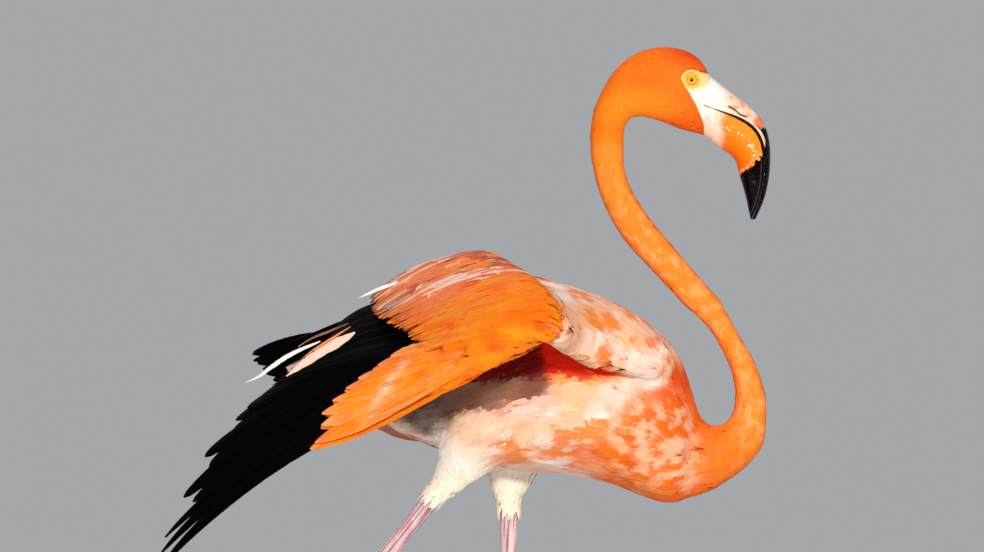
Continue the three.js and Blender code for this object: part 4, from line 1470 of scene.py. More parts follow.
@dataclass
class Skin:
    """One skin over trunk, neck, head, wing lobes and legs."""

    plan: Plan
    markings: Markings
    body_voxel: float = 2.6
    head_voxel: float = 0.85
    leg_voxel: float = 1.25
    weld: float = 0.45
    lid_ring: float = 5.3
    lid_tube: float = 1.25
    lid_reach: float = 3.2
    shank_top: float = 8.2
    shank: float = 7.4
    ankle: float = 11.5
    tarsus: float = 6.6
    foot: float = 7.6
    leg_sides: int = 26
    skull_rings: int = 70
    skull_sides: int = 64
    lid_rings: int = 60
    lid_sides: int = 12

    FLESH = (
        "head", "neck_base", "neck_bend", "neck_lower", "neck_middle", "neck_upper", "neck_top", "trunk",
        *(f"wing_{side}_{part}" for side in LEGS for part in ("arm", "shoulder", "hand")),
        *(f"{part}_{side}" for side in LEGS for part in ("thigh", "shank", "tarsus", "foot")),
    )

    @staticmethod
    def remesh(voxel: float, smooth: int) -> tuple[tuple[str, dict], ...]:
        """Steps that make one even surface and smooth it."""
        return (
            ("REMESH", {"mode": "VOXEL", "voxel_size": voxel * MM}),
            ("SMOOTH", {"factor": 0.5, "iterations": smooth}),
        )

    def body(self) -> Thing:
        """Trunk, neck, thighs and wing lobes, without the coat's depth."""
        names = [n for n in self.FLESH if n.startswith(("neck", "trunk", "thigh"))]
        core = joined("core", [copy_of(name, self.weld) for name in names])
        settle(core, *self.remesh(self.body_voxel, 14))
        points = corners_of(core.data)
        depth = self.plan.depth(points) + self.weld
        move_corners(core.data, points - normals_of(core.data) * depth[:, None])
        lobes = [core]
        for wing in (RIGHT_WING, LEFT_WING):
            fans = [fan for fan in (wing.arm, wing.shoulder, wing.hand, wing.wrist) if fan is not None]
            lobes += [fan.flesh(f"lobe_{wing.name}_{i}") for i, fan in enumerate(fans)]
        body = settle(joined("body", lobes), *self.remesh(self.body_voxel, 6))
        x, y, z = corners_of(body.data).T
        breast = ease(102, 140, x) * ease(690, 660, z) * ease(560, 585, z)
        scapulars = ease(30, 60, y) * ease(15, 40, x) * ease(100, 75, x)
        scapulars = scapulars * ease(590, 615, z) * ease(702, 688, z)
        soften(body.data, np.maximum(breast, scapulars), 150)
        return body

    def head(self) -> Thing:
        """Head with its bare face and the lids."""
        rows = Curve(HEAD_LINE, 4)(np.linspace(0, 1, self.skull_rings))
        stub = np.array([[109.6, 812, 138.6, 813, 13], [108.6, 826, 138.2, 827, 13.4]])
        skull = Solid.profile(np.concatenate([stub, rows]), self.skull_sides, 2.1).object("skull")
        settle(skull, *self.remesh(self.head_voxel, 4))
        points = corners_of(skull.data)
        bare = ease(-3.0, 0.5, self.plan.face_distance(points))
        depth = self.plan.depth(points) * (1 - bare)
        eye = np.hypot(points[:, 0] - EYE_AT[0], points[:, 2] - EYE_AT[2])
        depth = depth + 0.9 * ease(11.0, 7.2, eye) * ease(3.0, 5.6, eye)
        move_corners(skull.data, points - normals_of(skull.data) * depth[:, None])
        return settle(joined("head_skin", [skull, *self.lids()]), *self.remesh(self.head_voxel, 2))

    def lids(self) -> list[Thing]:
        """A ring of lid round each eye, fuller above."""
        made = []
        angle, turn = (np.linspace(0, 2 * np.pi, n, endpoint=False) for n in (self.lid_rings, self.lid_sides))
        c, s = np.cos(angle), np.sin(angle)
        tube = self.lid_tube * (1 + 0.22 * s)
        out = np.stack([c, 0 * c, s], 1)[:, None] * np.cos(turn)[None, :, None]
        for side in (-1, 1):
            ring = np.stack([
                EYE_AT[0] + self.lid_ring * 1.08 * c,
                side * (EYE_AT[1] + self.lid_reach + 0.4 * s),
                EYE_AT[2] + self.lid_ring * 0.96 * s,
            ], 1)
            way = np.array([0.0, side * 1.5, 0.0]) * np.sin(turn)[None, :, None]
            loop = ring[:, None] + tube[:, None, None] * (out + way)
            grid = np.arange(angle.size * turn.size).reshape(angle.size, turn.size)
            faces = weave(np.pad(grid, (0, 1), "wrap"))
            made.append(Solid(loop.reshape(-1, 3), faces).outward().object(f"lid_{side}"))
        return made

    def limb(self, name: str, start: Array, end: Array, places: Array, widths: Rows) -> Thing:
        """A round stretch of leg.

        Args:
            name: the object's name.
            start: one end.
            end: the other.
            places: fractions of the way at which the rings lie.
            widths: fractions of the way, each with the radius there.

        Returns:
            The object.
        """
        marks, radii = np.array(widths).T
        line = start + (end - start) * places[:, None]
        return Solid.tube(line, np.interp(places, marks, radii), self.leg_sides).object(name)

    def leg(self, name: str) -> Thing:
        """One bare leg with its foot, up into the thigh."""
        top, end, ankle, foot = self.plan.marks(LEGS[name], "hip", "feathers", "ankle", "foot")
        above = (
            (0, self.shank_top), (0.14, self.shank_top), (0.3, self.shank), (0.7, self.shank),
            (0.84, self.shank * 1.06), (0.92, self.ankle * 0.82), (0.97, self.ankle * 0.97), (1, self.ankle),
        )
        below = (
            (-0.025, self.ankle * 0.8), (0, self.ankle), (0.025, self.ankle * 0.93),
            (0.06, self.tarsus * 1.35), (0.12, self.tarsus * 1.05), (0.5, self.tarsus),
            (0.88, self.tarsus), (0.95, self.foot), (1, self.foot),
        )
        parts = (
            self.limb("shank", end + (top - end) * 0.45, ankle, np.linspace(0, 1, 40), above),
            self.limb("tarsus", ankle, foot, np.linspace(-0.025, 1, 50), below),
            copy_of(f"foot_{name}"),
        )
        made = settle(joined(f"leg_{name}", parts), *self.remesh(self.leg_voxel, 3))
        return self.scutes(made, LEGS[name])

    def scutes(self, thing: Thing, leg: dict) -> Thing:
        """Cross plates down the front of the tarsus and over the toes."""
        points = corners_of(thing.data)
        foot, ankle = self.plan.marks(leg, "foot", "ankle")
        run = unit(foot - ankle)
        along = (points - ankle) @ run
        front = normals_of(thing.data) @ unit(np.cross(run, (0, 1, 0)))
        on_shin = ease(25, 45, along) * ease(0.1, 0.6, np.abs(front))
        wave = np.abs(np.sin(along * np.pi / 5.2)) ** 0.4
        reach = np.linalg.norm((points - foot)[:, :2], axis=1)
        on_toe = ease(12, 20, reach) * ease(2.6, 5.0, points[:, 2]) * (points[:, 2] < 20)
        toes = np.abs(np.sin(reach * np.pi / 3.6)) ** 0.5
        lift = 0.4 * (wave - 0.7) * on_shin * (1 - on_toe) + 0.3 * (toes - 0.6) * on_toe
        moved = points + normals_of(thing.data) * lift[:, None]
        moved[:, 2] = np.maximum(moved[:, 2], 0.0)
        move_corners(thing.data, moved)
        return thing

    def strands(self, points: Array) -> Array:
        """Places on the legs with little change down them, for the painted sheen streaks that follow the
        shins.
        """
        made = np.zeros_like(points)
        for leg in LEGS.values():
            hip, ankle, foot = self.plan.marks(leg, "hip", "ankle", "foot")
            mine, shin = np.sign(points[:, 1]) == leg["side"], points[:, 2] < ankle[2]
            for top, end, part in ((hip, ankle, ~shin), (ankle, foot, shin)):
                run = unit(end - top)
                off = points - top
                along = off @ run
                off = off - along[:, None] * run + run * (along * 0.03)[:, None]
                made = np.where((mine & part)[:, None], off, made)
        return made

    def build(self) -> Thing:
        """The whole skin in one piece."""
        made = self.body()
        for part in (self.head(), self.leg("right"), self.leg("left")):
            combined(made, part, "UNION")
        made.name = made.data.name = "skin"
        points = corners_of(made.data)
        colour, low = self.markings.skin(points)
        tint(made.data, colour)
        paint(made.data, "leg", low)
        paint(made.data, "strand", self.strands(points))
        return dress(made, SkinFinish().make(), "leg_skin", *self.FLESH)


# ---- head pieces


@dataclass
class Bill:
    """Bent bill in two halves, parted along the mouth."""

    markings: Markings
    voxel: float = 0.5
    slit: float = 0.3
    rings: int = 90
    sides: int = 72
    squareness: float = 2.3
    nostril_depth: float = 1.5

    def halves(self) -> tuple[Thing, Thing]:
        """The upper and the lower bill."""
        rows = Curve(BILL_LINE, 4)(np.linspace(0, 1, self.rings))
        whole = Solid.profile(rows, self.sides, self.squareness).object("bill")
        mouth = np.insert(Curve(MOUTH_LINE)(np.linspace(0, 1, 60)), 1, 0.0, axis=1)
        run = unit(np.gradient(mouth, axis=0))
        mouth = np.concatenate([[(200.0, 0.0, 868.6)], mouth, mouth[-1:] + run[-1:] * 8])
        lift = np.stack([-run[:, 2], run[:, 1], run[:, 0]], 1)
        lift = np.concatenate([lift[:1], lift, lift[-1:]])
        flat, halves = (np.tile(row, (len(mouth), 1)) for row in ([0.0, 1.0, 0.0], [30.0, self.slit / 2]))
        blade = Solid.loft(mouth, flat, lift, halves, 4).object("blade")
        return self.parted(combined(whole, blade, "DIFFERENCE"))

    def parted(self, whole: Thing) -> tuple[Thing, Thing]:
        """Splits the cut bill into its upper and lower body."""
        points = corners_of(whole.data)
        faces = [tuple(polygon.vertices) for polygon in whole.data.polygons]
        label = np.arange(len(points))
        edges = np.array([(e.vertices[0], e.vertices[1]) for e in whole.data.edges])
        while True:
            low = np.minimum(label[edges[:, 0]], label[edges[:, 1]])
            fresh = label.copy()
            np.minimum.at(fresh, edges[:, 0], low)
            np.minimum.at(fresh, edges[:, 1], low)
            fresh = fresh[fresh]
            if (fresh == label).all():
                break
            label = fresh
        names, counts = np.unique(label, return_counts=True)
        bodies = []
        for name in names[np.argsort(counts)[-2:]]:
            keep = np.flatnonzero(label == name)
            index = {int(v): i for i, v in enumerate(keep)}
            chosen = [tuple(index[v] for v in face) for face in faces if face[0] in index]
            bodies.append(Solid(points[keep], chosen))
        bpy.data.objects.remove(whole)
        lower, upper = sorted(bodies, key=lambda body: body.points[:, 0].max())
        return upper.object("bill_upper_skin"), lower.object("bill_lower_skin")

    def shape(self, thing: Thing) -> Array:
        """Evens the mesh and presses in the nostrils; returns its points."""
        settle(thing, *Skin.remesh(self.voxel, 2))
        points = corners_of(thing.data)
        pit = ease(1.3, 0.4, line_distance(points, NOSTRIL)) * ease(5, 9, np.abs(points[:, 1]))
        points = points - normals_of(thing.data) * (self.nostril_depth * pit)[:, None]
        move_corners(thing.data, points)
        return points

    def build(self) -> None:
        """Both halves, painted."""
        upper, lower = self.halves()
        finish = HornFinish("bill_horn").make()
        for thing, colour, node in ((upper, self.upper_colour, "bill_upper"),
                                    (lower, self.lower_colour, "bill_lower")):
            points = self.shape(thing)
            tint(thing.data, colour(points))
            thing.name = f"{node}_horn"
            dress(thing, finish, "bill_horn", node)

    def upper_colour(self, p: Array) -> Array:
        """Pinkish horn with orange flecks, black down the front edge and at the tip."""
        x, _, z = p.T
        fine, middle = self.markings.fine, self.markings.middle
        edge = line_distance(p, MOUTH_LINE)
        ragged = (fine(p, 2.2) - 0.5) * 5
        black = ease(849, 843, z + ragged) * ease(2.6, 4.2, edge + ease(836, 820, z) * 4)
        wide = 0.3 + 1.0 * ease(212, 252, x)
        pit = ease(1.1, 0.3, line_distance(p, NOSTRIL)) * ease(5, 9, np.abs(p[:, 1]))
        return layered(
            Tone.SNOW,
            (Tone.HORN, ease(220, 238, x) * 0.85),
            (Tone.SALMON, fine.patches(p, (5, 7, 4), 0.24) * ease(222, 240, x) * 0.6),
            (Tone.SNOW, middle.patches(p, (8, 8, 5), 0.2) * 0.5),
            (Tone.ORANGE, ease(7.5, 3.0, np.hypot(x - 260, z - 850)) * 0.8),
            (Tone.BLACK, black),
            (Tone.BLACK, ease(wide + 0.35, wide - 0.25, edge)),
            (Tone.BLACK, pit),
        )

    def lower_colour(self, p: Array) -> Array:
        """Orange with a pale root, an arc of painted white glints and a black tip."""
        x, _, z = p.T
        fine = self.markings.fine
        # Painted highlight: white glints along an arc on the lower bill.
        flecks_and_glints = line_distance(p, BILL_GLINT_ARC)
        painted_glints = ease(0.66, 0.74, fine(p, (1.5, 3.0, 1.5))) * ease(3.2, 1.4, flecks_and_glints)
        ragged = (fine(p, 1.7) - 0.5) * 6
        line = (z - 805.5) - (x - 246) * 0.86 + ragged
        edge = line_distance(p, MOUTH_LINE)
        wide = 0.4 + 1.4 * ease(212, 252, x)
        return layered(
            Tone.AMBER,
            (Tone.ORANGE, ease(848, 812, z + (x - 240))),
            (Tone.EMBER, ease(825, 795, z) * 0.45),
            (mix(Tone.SNOW, Tone.HORN, 0.7), ease(231, 222, x + (fine(p, 4) - 0.5) * 4)),
            (Tone.SNOW, painted_glints * 0.85),
            (Tone.PEACH, ease(3.5, 0.5, np.abs(line - 2.5)) * 0.6),
            (Tone.BLACK, ease(0.7, -0.7, line)),
            (Tone.UMBER, ease(0.6, 0.2, np.abs(edge - wide - 1.0)) * ease(822, 812, z) * 0.4),
            (Tone.BLACK, ease(wide + 0.35, wide - 0.25, edge)),
        )


def line_distance(points: Array, line: Rows, samples: int = 160) -> Array:
    """Distance from points to a smooth line, seen from the side."""
    way = Curve(line)(np.linspace(0, 1, samples))
    return np.sqrt(((points[:, None, [0, 2]] - way) ** 2).sum(-1).min(1))


@dataclass
class Eyes:
    """Eyeballs with a yellow iris, a small pupil and a clear bulge."""

    pupil: float = 1.7
    iris: float = 4.5
    radius: float = 6.2
    bulge: float = 0.35
    rings: int = 49
    sides: int = 64

    def build(self) -> None:
        """Both eyeballs."""
        finish = EyeFinish().make()
        for name, side in (("right", -1), ("left", 1)):
            turn = np.linspace(0, np.pi, self.rings)
            swing = np.linspace(0, 2 * np.pi, self.sides, endpoint=False)
            bulge = self.radius + self.bulge * ease(0.75, 0.2, turn)
            out, up = (np.sin(turn) * bulge)[:, None], (np.cos(turn) * bulge)[:, None]
            ring = np.stack([out * np.cos(swing), np.repeat(up, self.sides, 1), out * np.sin(swing)], -1)
            centre = EYE_AT * (1, side, 1)
            points = centre + ring.reshape(-1, 3) * (1, side, 1)
            grid = np.arange(len(points)).reshape(self.rings, self.sides)
            faces = weave(np.pad(grid, ((0, 0), (0, 1)), "wrap"))
            ball = Solid(points, faces).outward().object(f"eyeball_{name}")
            settle(ball, ("WELD", {"merge_threshold": 0.01 * MM}))
            p = corners_of(ball.data) - centre
            away = np.hypot(p[:, 0], p[:, 2])
            front = p[:, 1] * side > 0
            tint(ball.data, layered(
                Tone.YOLK,
                (Tone.AMBER, ease(2.6, self.iris, away) * 0.6),
                (Tone.CRIMSON, ease(self.iris - 0.5, self.iris, away) * 0.7),
                (Tone.BLACK, ease(self.pupil + 0.15, self.pupil - 0.15, away) * front),
            ))
            dress(ball, finish, "eye", f"eye_{name}")


@dataclass
class Claws:
    """Blunt claws on the inner, middle and outer toes."""

    plan: Plan
    toes: tuple = (68, 86, 74)
    spread: float = 0.5
    length: float = 9.0
    radius: float = 1.9

    def build(self) -> None:
        """All the claws in one piece."""
        parts = []
        for leg in LEGS.values():
            foot, = self.plan.marks(leg, "foot")
            for toe, turn in zip(self.toes, (-1, 0, 1)):
                angle = turn * leg["side"] * self.spread
                way = np.array([math.cos(angle), math.sin(angle), 0.0])
                t = np.linspace(0, 1, 12)
                line = foot + way * (toe - 3 + (self.length + 2.6) * t)[:, None]
                line[:, 2] = 2.6 + 1.3 * np.sin(t * np.pi * 0.8) - 1.9 * t
                claw = Solid.tube(line, self.radius * (1 - t**1.6) + 0.25, 12, (-way[1], way[0], 0))
                parts.append(claw.object("claw"))
        claws = joined("claws", parts)
        points = corners_of(claws.data)
        points[:, 2] = np.maximum(points[:, 2], 0.05)
        move_corners(claws.data, points)
        tint(claws.data, mix(Tone.LEG_DARK, Tone.SOOT, np.full(len(points), 0.7)))
        dress(claws, HornFinish("claw_horn", 0.4, 0.2).make(), "bill_horn")


# ---- the coat on the skin


class Cuts:
    """The kinds of feathers on the bird."""

    FACE = VaneCut(4, 3, 0.5, 0.5, 1.8, 0.1, 0.2, 0.06, 0.1, 0.04)
    NECK = VaneCut(5, 3, 0.5, 0.45, 1.7, 0.15, 0.3, 0.07, 0.12, 0.06)
    SILK = VaneCut(7, 3, 0.5, 0.4, 1.5, 0.2, 0.4, 0.06, 0.16, 0.12)
    DOWN = VaneCut(5, 3, 0.4, 0.5, 1.3, 0.3, 0.4, 0.08, 0.14, 0.08)
    COVERT = VaneCut(8, 5, 0.6, 0.45, 1.8, 0.12, 0.35, 0.08, 0.2, 0.2)
    LONG = VaneCut(14, 5, 0.6, 0.45, 1.6, 0.14, 0.4, 0.12, 0.24, 0.3)


class Lobe(IntEnum):
    """The fans of a wing that carry small feathers, and the rest of the bird."""

    ARM, HAND, WRIST, BODY = range(4)


class WingMap:
    """Where a point lies on the wings: which lobe, how far across and along, and the lie there."""

    GRID = (70, 40)
    FAR = 99.0

    @staticmethod
    def rows(u: Array, v: Array, side: float, fan: Array | int) -> Array:
        """Places on the wing, one to a row."""
        return np.stack(np.broadcast_arrays(u, v, side, fan), -1).reshape(-1, 4).astype(float)

    def __init__(self) -> None:
        """Samples both faces of the fans into a search tree."""
        rows = []
        for wing in (RIGHT_WING, LEFT_WING):
            for kind, fan in zip(Lobe, (wing.arm, wing.hand, wing.wrist, wing.shoulder)):
                if fan is None:
                    continue
                grids = np.meshgrid(*(np.linspace(0, 1, n) for n in self.GRID), indexing="ij")
                u, v = (grid.ravel() for grid in grids)
                ahead = fan.middle_point(u, np.minimum(v + 0.02, 1.0))
                ahead = ahead - fan.middle_point(u, np.maximum(v - 0.02, 0.0))
                for side in (-1, 1):
                    points, _ = fan.spine(u, v, side, np.zeros(len(u)))
                    outer = (u > 0.72) & (points[:, 0] < 79) & (points[:, 1] < 0)
                    name = np.where((kind == Lobe.BODY) & outer, Lobe.WRIST, kind)
                    turn = 1.6 * ease(0.13, 0.0, v) * np.where(v < 0.03, 1, side) * (kind != Lobe.BODY)
                    lie = unit(unit(ahead) + turn[:, None] * fan.normal(u, v))
                    rows.append(np.concatenate([points, lie, self.rows(u, v, side, name)], 1))
        self.table = np.concatenate(rows)
        self.tree = KDTree(len(self.table))
        for i, row in enumerate(self.table[:, :3].tolist()):
            self.tree.insert(row, i)
        self.tree.balance()

    def near(self, points: Array) -> tuple[Array, Array, Array]:
        """The distance, the lie and the place (u, v, side, fan) at points."""
        count = len(points)
        away, lie = np.full(count, self.FAR), np.tile([-1.0, 0.0, 0.0], (count, 1))
        place = np.zeros((count, 4))
        place[:, 3] = Lobe.BODY
        close = np.flatnonzero((points[:, 2] > 545) & (points[:, 2] < 735) & (points[:, 0] < 112))
        hits = [self.tree.find_n(p, 4) for p in points[close].tolist()]
        if hits:
            index = np.array([[hit[1] for hit in four] for four in hits])
            away[close] = [four[0][2] for four in hits]
            lie[close] = unit(self.table[index, 3:6].mean(axis=1))
            place[close] = self.table[index[:, 0], 6:]
        return away, lie, place

    def covers(self, points: Array, away: Array, place: Array) -> Array:
        """Which points belong to a wing's arm, wrist or hand."""
        return (place[:, 3] != Lobe.BODY) & ((away < 3.2) | (points[:, 1] < -98))


@dataclass
class Coat:
    """The small feathers that grow all over the skin."""

    plan: Plan
    markings: Markings
    shell: Shell
    wings: WingMap
    rng: Rng
    body_length: float = 36.0
    thigh_length: float = 15.0
    wing_depth: float = 2.6
    thigh_pitch: float = 2.3
    covert_pitch: float = 4.2
    parting_pitch: float = 1.9
    parting_reach: float = 30.0
    wander: float = 0.1

    def length(self, points: Array) -> Array:
        """Feather length over the bird, off the wings."""
        neck, t = self.plan.neckness(points)
        thigh, _ = self.plan.thigh(points)
        marks = [0, self.plan.axis.mark(2), self.plan.rise, self.plan.nape * 0.8, self.plan.nape, 0.9, 1]
        on_neck = np.interp(t, marks, [26, 19, 13.5, 10.5, 8.4, 6.4, 4.4])
        x, y, z = points.T
        body = self.body_length - 8 * ease(120, 190, x)
        room = x - np.interp(z, WING_FRONT[1], WING_FRONT[0])
        body = np.where((y < -60) & (z > 652), np.minimum(body, np.clip(1.1 * room + 7, 9, 99)), body)
        size = body * (1 - neck) + on_neck * neck
        return size * (1 - thigh) + self.thigh_length * thigh

    def pitch(self, points: Array) -> Array:
        """The distance that roots keep from each other; infinite where nothing grows."""
        thigh, _ = self.plan.thigh(points)
        gap = np.clip(0.33 * self.length(points) ** 0.74, 1.25, 4.1)
        gap = np.where(thigh > 0.5, self.thigh_pitch, gap)
        for place in PARTINGS:
            close = np.linalg.norm(points - place, axis=1) < self.parting_reach
            gap = np.where(close, np.minimum(gap, self.parting_pitch), gap)
        away, _, place = self.wings.near(points)
        on_wing = self.wings.covers(points, away, place)
        v, fan = place[:, 1], place[:, 3]
        covert = np.where(fan == Lobe.ARM, v < 0.5, np.where(fan == Lobe.HAND, v < 0.46, True))
        gap = np.where(on_wing, np.where(covert, self.covert_pitch, np.inf), gap)
        return np.where(self.feathered(points), gap, np.inf)

    def feathered(self, points: Array) -> Array:
        """Which points grow small feathers."""
        bare = (self.plan.face_distance(points) > -0.5) & (points[:, 0] > 150) & (points[:, 2] > 800)
        return ~bare & (self.plan.below_feathers(points) <= -1.0)

    def lay(self, points: Array, normals: Array, cut: VaneCut, length: Array,
            wing: bool) -> tuple[Array, Array]:
        """Walks spines over the skin.

        Args:
            points: roots.
            normals: the skin's normals there.
            cut: the feathers' cut.
            length: how long each is.
            wing: whether they follow the wing's lie or the body's.

        Returns:
            Spine points and normals, with a row for each feather.
        """
        spin = self.rng.normal(0, self.wander, len(points))[:, None]
        loft = self.rng.uniform(-0.03, 0.07, len(points))
        depth = self.wing_depth if wing else np.minimum(self.plan.depth(points), 0.2 * length + 0.3)
        lines, ups = [], []
        here, up, last = points, normals, 0.0
        for t in cut.along:
            if t > 0:
                way = self.wings.near(here)[1] if wing else self.plan.flow(here, up)
                way = unit(way - up * (way * up).sum(1, keepdims=True))
                way = way * np.cos(spin) + np.cross(up, way) * np.sin(spin)
                here, up, _ = self.shell.nearest(here + way * ((t - last) * length)[:, None])
                last = t
            height = depth * (0.1 + 0.74 * float(ease(0, 0.3, t)) + (0.13 + loft) * t)
            lines.append(here + up * height[:, None])
            ups.append(up)
        return np.stack(lines, 1), np.stack(ups, 1)

    def build(self) -> None:
        """All the pieces of the small coat."""
        points, normals = self.shell.scatter(self.pitch, self.rng)
        away, _, place = self.wings.near(points)
        on_wing = self.wings.covers(points, away, place)
        neck, t = self.plan.neckness(points)
        thigh, _ = self.plan.thigh(points)
        x, y, z = points.T
        on_thigh = (thigh > 0.5) & ~on_wing
        on_head = (t > self.plan.nape) & (neck > 0.5) & ~on_wing
        on_neck = (neck > 0.5) & ~on_head & (t > self.plan.axis.mark(2)) & ~on_wing
        rest = ~(on_thigh | on_head | on_neck | on_wing)
        groups = (
            ("coat_head", on_head, Cuts.FACE, 0.24, "plumage_orange"),
            ("coat_neck_upper", on_neck & (z > 690), Cuts.NECK, 0.19, "plumage_orange"),
            ("coat_neck_lower", on_neck & (z <= 690), Cuts.NECK, 0.19, "plumage_orange"),
            ("coat_thighs", on_thigh, Cuts.DOWN, 0.13, "plumage_cream"),
            ("coat_breast", rest & (x > 128), Cuts.SILK, 0.16, "plumage_orange"),
            ("coat_right_flank", rest & (x <= 128) & (y < 0), Cuts.SILK, 0.16, "plumage_orange"),
            ("coat_left_flank", rest & (x <= 128) & (y >= 0), Cuts.SILK, 0.16, "plumage_orange"),
        )
        finish = VaneFinish("plumage_soft", shaft=0.05).make()
        for name, mask, cut, ratio, slot in groups:
            size = self.length(points[mask])
            self.piece(name, points[mask], normals[mask], cut, size, ratio, finish, slot, None)
        for name, side in (("right", y < -20), ("left", y >= -20)):
            mask = on_wing & side
            size = self.covert_length(place[mask])
            self.piece(f"coverts_{name}", points[mask], normals[mask], Cuts.COVERT, size, 0.2, finish,
                       "plumage_orange", place[mask])

    @staticmethod
    def covert_length(place: Array) -> Array:
        """Length of the small coverts by their place on the wing."""
        u, v, _, fan = place.T
        arm = 15 + 44 * np.clip(v, 0, 0.5) + 8 * ease(0.8, 0.5, u)
        hand = 15 + 30 * np.clip(v, 0, 0.5)
        return np.where(fan == Lobe.ARM, arm, np.where(fan == Lobe.HAND, hand, 15 + 9 * v))

    def piece(self, name: str, points: Array, normals: Array, cut: VaneCut, length: Array, ratio: float,
              finish: Material, slot: str, place: Array | None) -> None:
        """One piece of coat.

        Args:
            name: the piece's name.
            points: roots.
            normals: the skin's normals there.
            cut: the feathers' cut.
            length: how long each is.
            ratio: half width over length.
            finish: its material.
            slot: not used.
            place: places on the wing, or nothing for the body.
        """
        count = len(points)
        length = length * self.rng.uniform(0.85, 1.15, count)
        spine, ups = self.lay(points, normals, cut, length, place is not None)
        if place is None:
            tones = self.markings.body(spine.reshape(-1, 3)).reshape(spine.shape)
            edge = mix(tones[:, -1], Tone.SNOW, 0.5 * tones[:, -1, 1])
            share, shade = (0.0, 0.03) if name == "coat_head" else (0.3, 0.05)
        else:
            flat = [place + (0, 1, 0, 0) * (t * length / 150)[:, None] for t in cut.along]
            tones = np.stack([self.markings.wing(spine[:, k], row) for k, row in enumerate(flat)], 1)
            edge = self.markings.covert_edge(tones[:, -1], place)
            share, shade = 0.5, 0.06
        tones = (tones * self.rng.normal(1, shade, (count, 1, 1))).clip(0, 1)
        group = Feathers(cut, spine, ups, length * ratio, tones, edge, self.unwrap(points, place),
                         self.rng.normal(0, 0.06, count), share)
        coat_piece(name, [group], finish, slot, self.rng)

    def unwrap(self, points: Array, place: Array | None) -> Array:
        """A root's place on the skin rolled out flat.

        Args:
            points: roots.
            place: places on the wing, or nothing for the body.

        Returns:
            Two numbers from 0 to 1 for each root.
        """
        if place is not None:
            u, v, side, fan = place.T
            uv = np.stack([(fan + 0.03 + 0.94 * u) / 3, 0.25 * side + 0.27 + 0.44 * np.clip(v, 0, 1)], 1)
            return uv.clip(0.004, 0.996)
        neck, t = self.plan.neckness(points)
        thigh, _ = self.plan.thigh(points)
        index = np.clip((t * (self.plan.SAMPLES - 1)).astype(int), 0, self.plan.SAMPLES - 1)
        off, tangent = points - self.plan.line[index], self.plan.tangent[index]
        height = off[:, 2] * tangent[:, 0] - off[:, 0] * tangent[:, 2]
        height = np.where(neck > 0.5, height, points[:, 2] - 625)
        on_body = 0.02 + 0.46 * np.clip((points[:, 0] + 125) / 340, 0, 1)
        along = np.where(neck > 0.5, 0.5 + 0.48 * t, on_body)
        uv = np.stack([np.arctan2(points[:, 1], height) / (2 * np.pi) + 0.5, along], 1)
        for leg, shift in zip(LEGS.values(), (0.0, 0.5)):
            mine = (thigh > 0.5) & (np.sign(points[:, 1]) == leg["side"])
            top, end = self.plan.marks(leg, "hip", "feathers")
            run = end - top
            s = ((points - top) @ run) / (run @ run)
            x, y, _ = (points - (top + s[:, None] * run)).T
            turn = np.arctan2(y, x) / (2 * np.pi) + 0.5
            uv = np.where(mine[:, None], np.stack([shift + turn * 0.48, np.clip(s, 0, 1.2) / 1.25], 1), uv)
        return uv.clip(0.004, 0.996)


# ---- feathers in rows


@dataclass(frozen=True)
class Row:
    """One row of long coverts across a fan."""

    count: int
    start: float
    length: float
    half_width: float
    lift: float = 0.0
    limit: float = 1.0
    span: tuple[float, float] = (0.0, 1.0)


@dataclass(frozen=True)
class Flight:
    """Flight feathers or tail feathers on one fan."""

    tips: tuple[float, ...]
    width: tuple[float, float]
    power: float = 1.8
    slotted: int = 0
    short: tuple[tuple[int, float], ...] = ()
    bend: float = 0.0
    tone: Tone = Tone.BLACK
    rim: Tone = Tone.SOOT

    @staticmethod
    def even(count: int) -> tuple[float, ...]:
        """Tips spread evenly."""
        return tuple((i + 0.5) / count for i in range(count))


@dataclass(frozen=True)
class Plume:
    """One loose plume."""

    line: Rows
    half: float
    tone: Tone
    rim: Tone
    roll: float = 0.0
    full_at: float = 0.5
    root: float = 0.3


FLIGHTS = {
    "primaries_right": Flight(
        (0.04, 0.12, 0.2, 0.31, 0.413, 0.51, 0.62, 0.72, 0.827, 0.905, 0.975), (14.5, 10.5), 2.8, 3,
        ((3, 0.93), (5, 0.94), (7, 0.93)), 0.3,
    ),
    "secondaries_right": Flight(Flight.even(13), (8.6, 8.0)),
    "primaries_left": Flight((0.06, 0.12, 0.3, 0.42, 0.6, 0.76, 0.97), (9.5, 8.5), 1.8),
    "secondaries_left": Flight(Flight.even(10), (8.2, 7.8)),
}
TAIL_FLIGHT = Flight(Flight.even(12), (9.0, 9.0), tone=Tone.ROSE, rim=Tone.SNOW)
PLUMES = (
    Plume(((-102, -83, 662), (-127, -89, 647), (-148, -94, 634), (-163, -101, 623)), 6.4,
          Tone.PETAL, Tone.ROSE, 0.0, 0.3, 0.15),
    Plume(((-106, -86, 667), (-122, -89, 657), (-138, -92, 647), (-150, -95, 638)), 1.2,
          Tone.SALMON, Tone.UMBER),
    Plume(((-133, -85, 654), (-158, -91, 643), (-178, -95, 630), (-187, -97, 623), (-200, -99, 617)), 2.3,
          Tone.SNOW, Tone.BONE),
    Plume(((-108, -78, 670), (-125, -84, 663), (-140, -88, 657), (-153, -90, 649)), 1.5,
          Tone.UMBER, Tone.ROSE, 0.4),
    Plume(((-56, -66, 709), (-80, -68, 701), (-100, -70, 692)), 1.8, Tone.SNOW, Tone.BONE),
)
ARM_ROWS = (
    Row(40, 0.38, 46, 3.4, 0.6), Row(38, 0.45, 50, 3.8, 0.4), Row(36, 0.52, 56, 4.4, 0.1),
    Row(34, 0.6, 60, 5.0, -0.3),
)
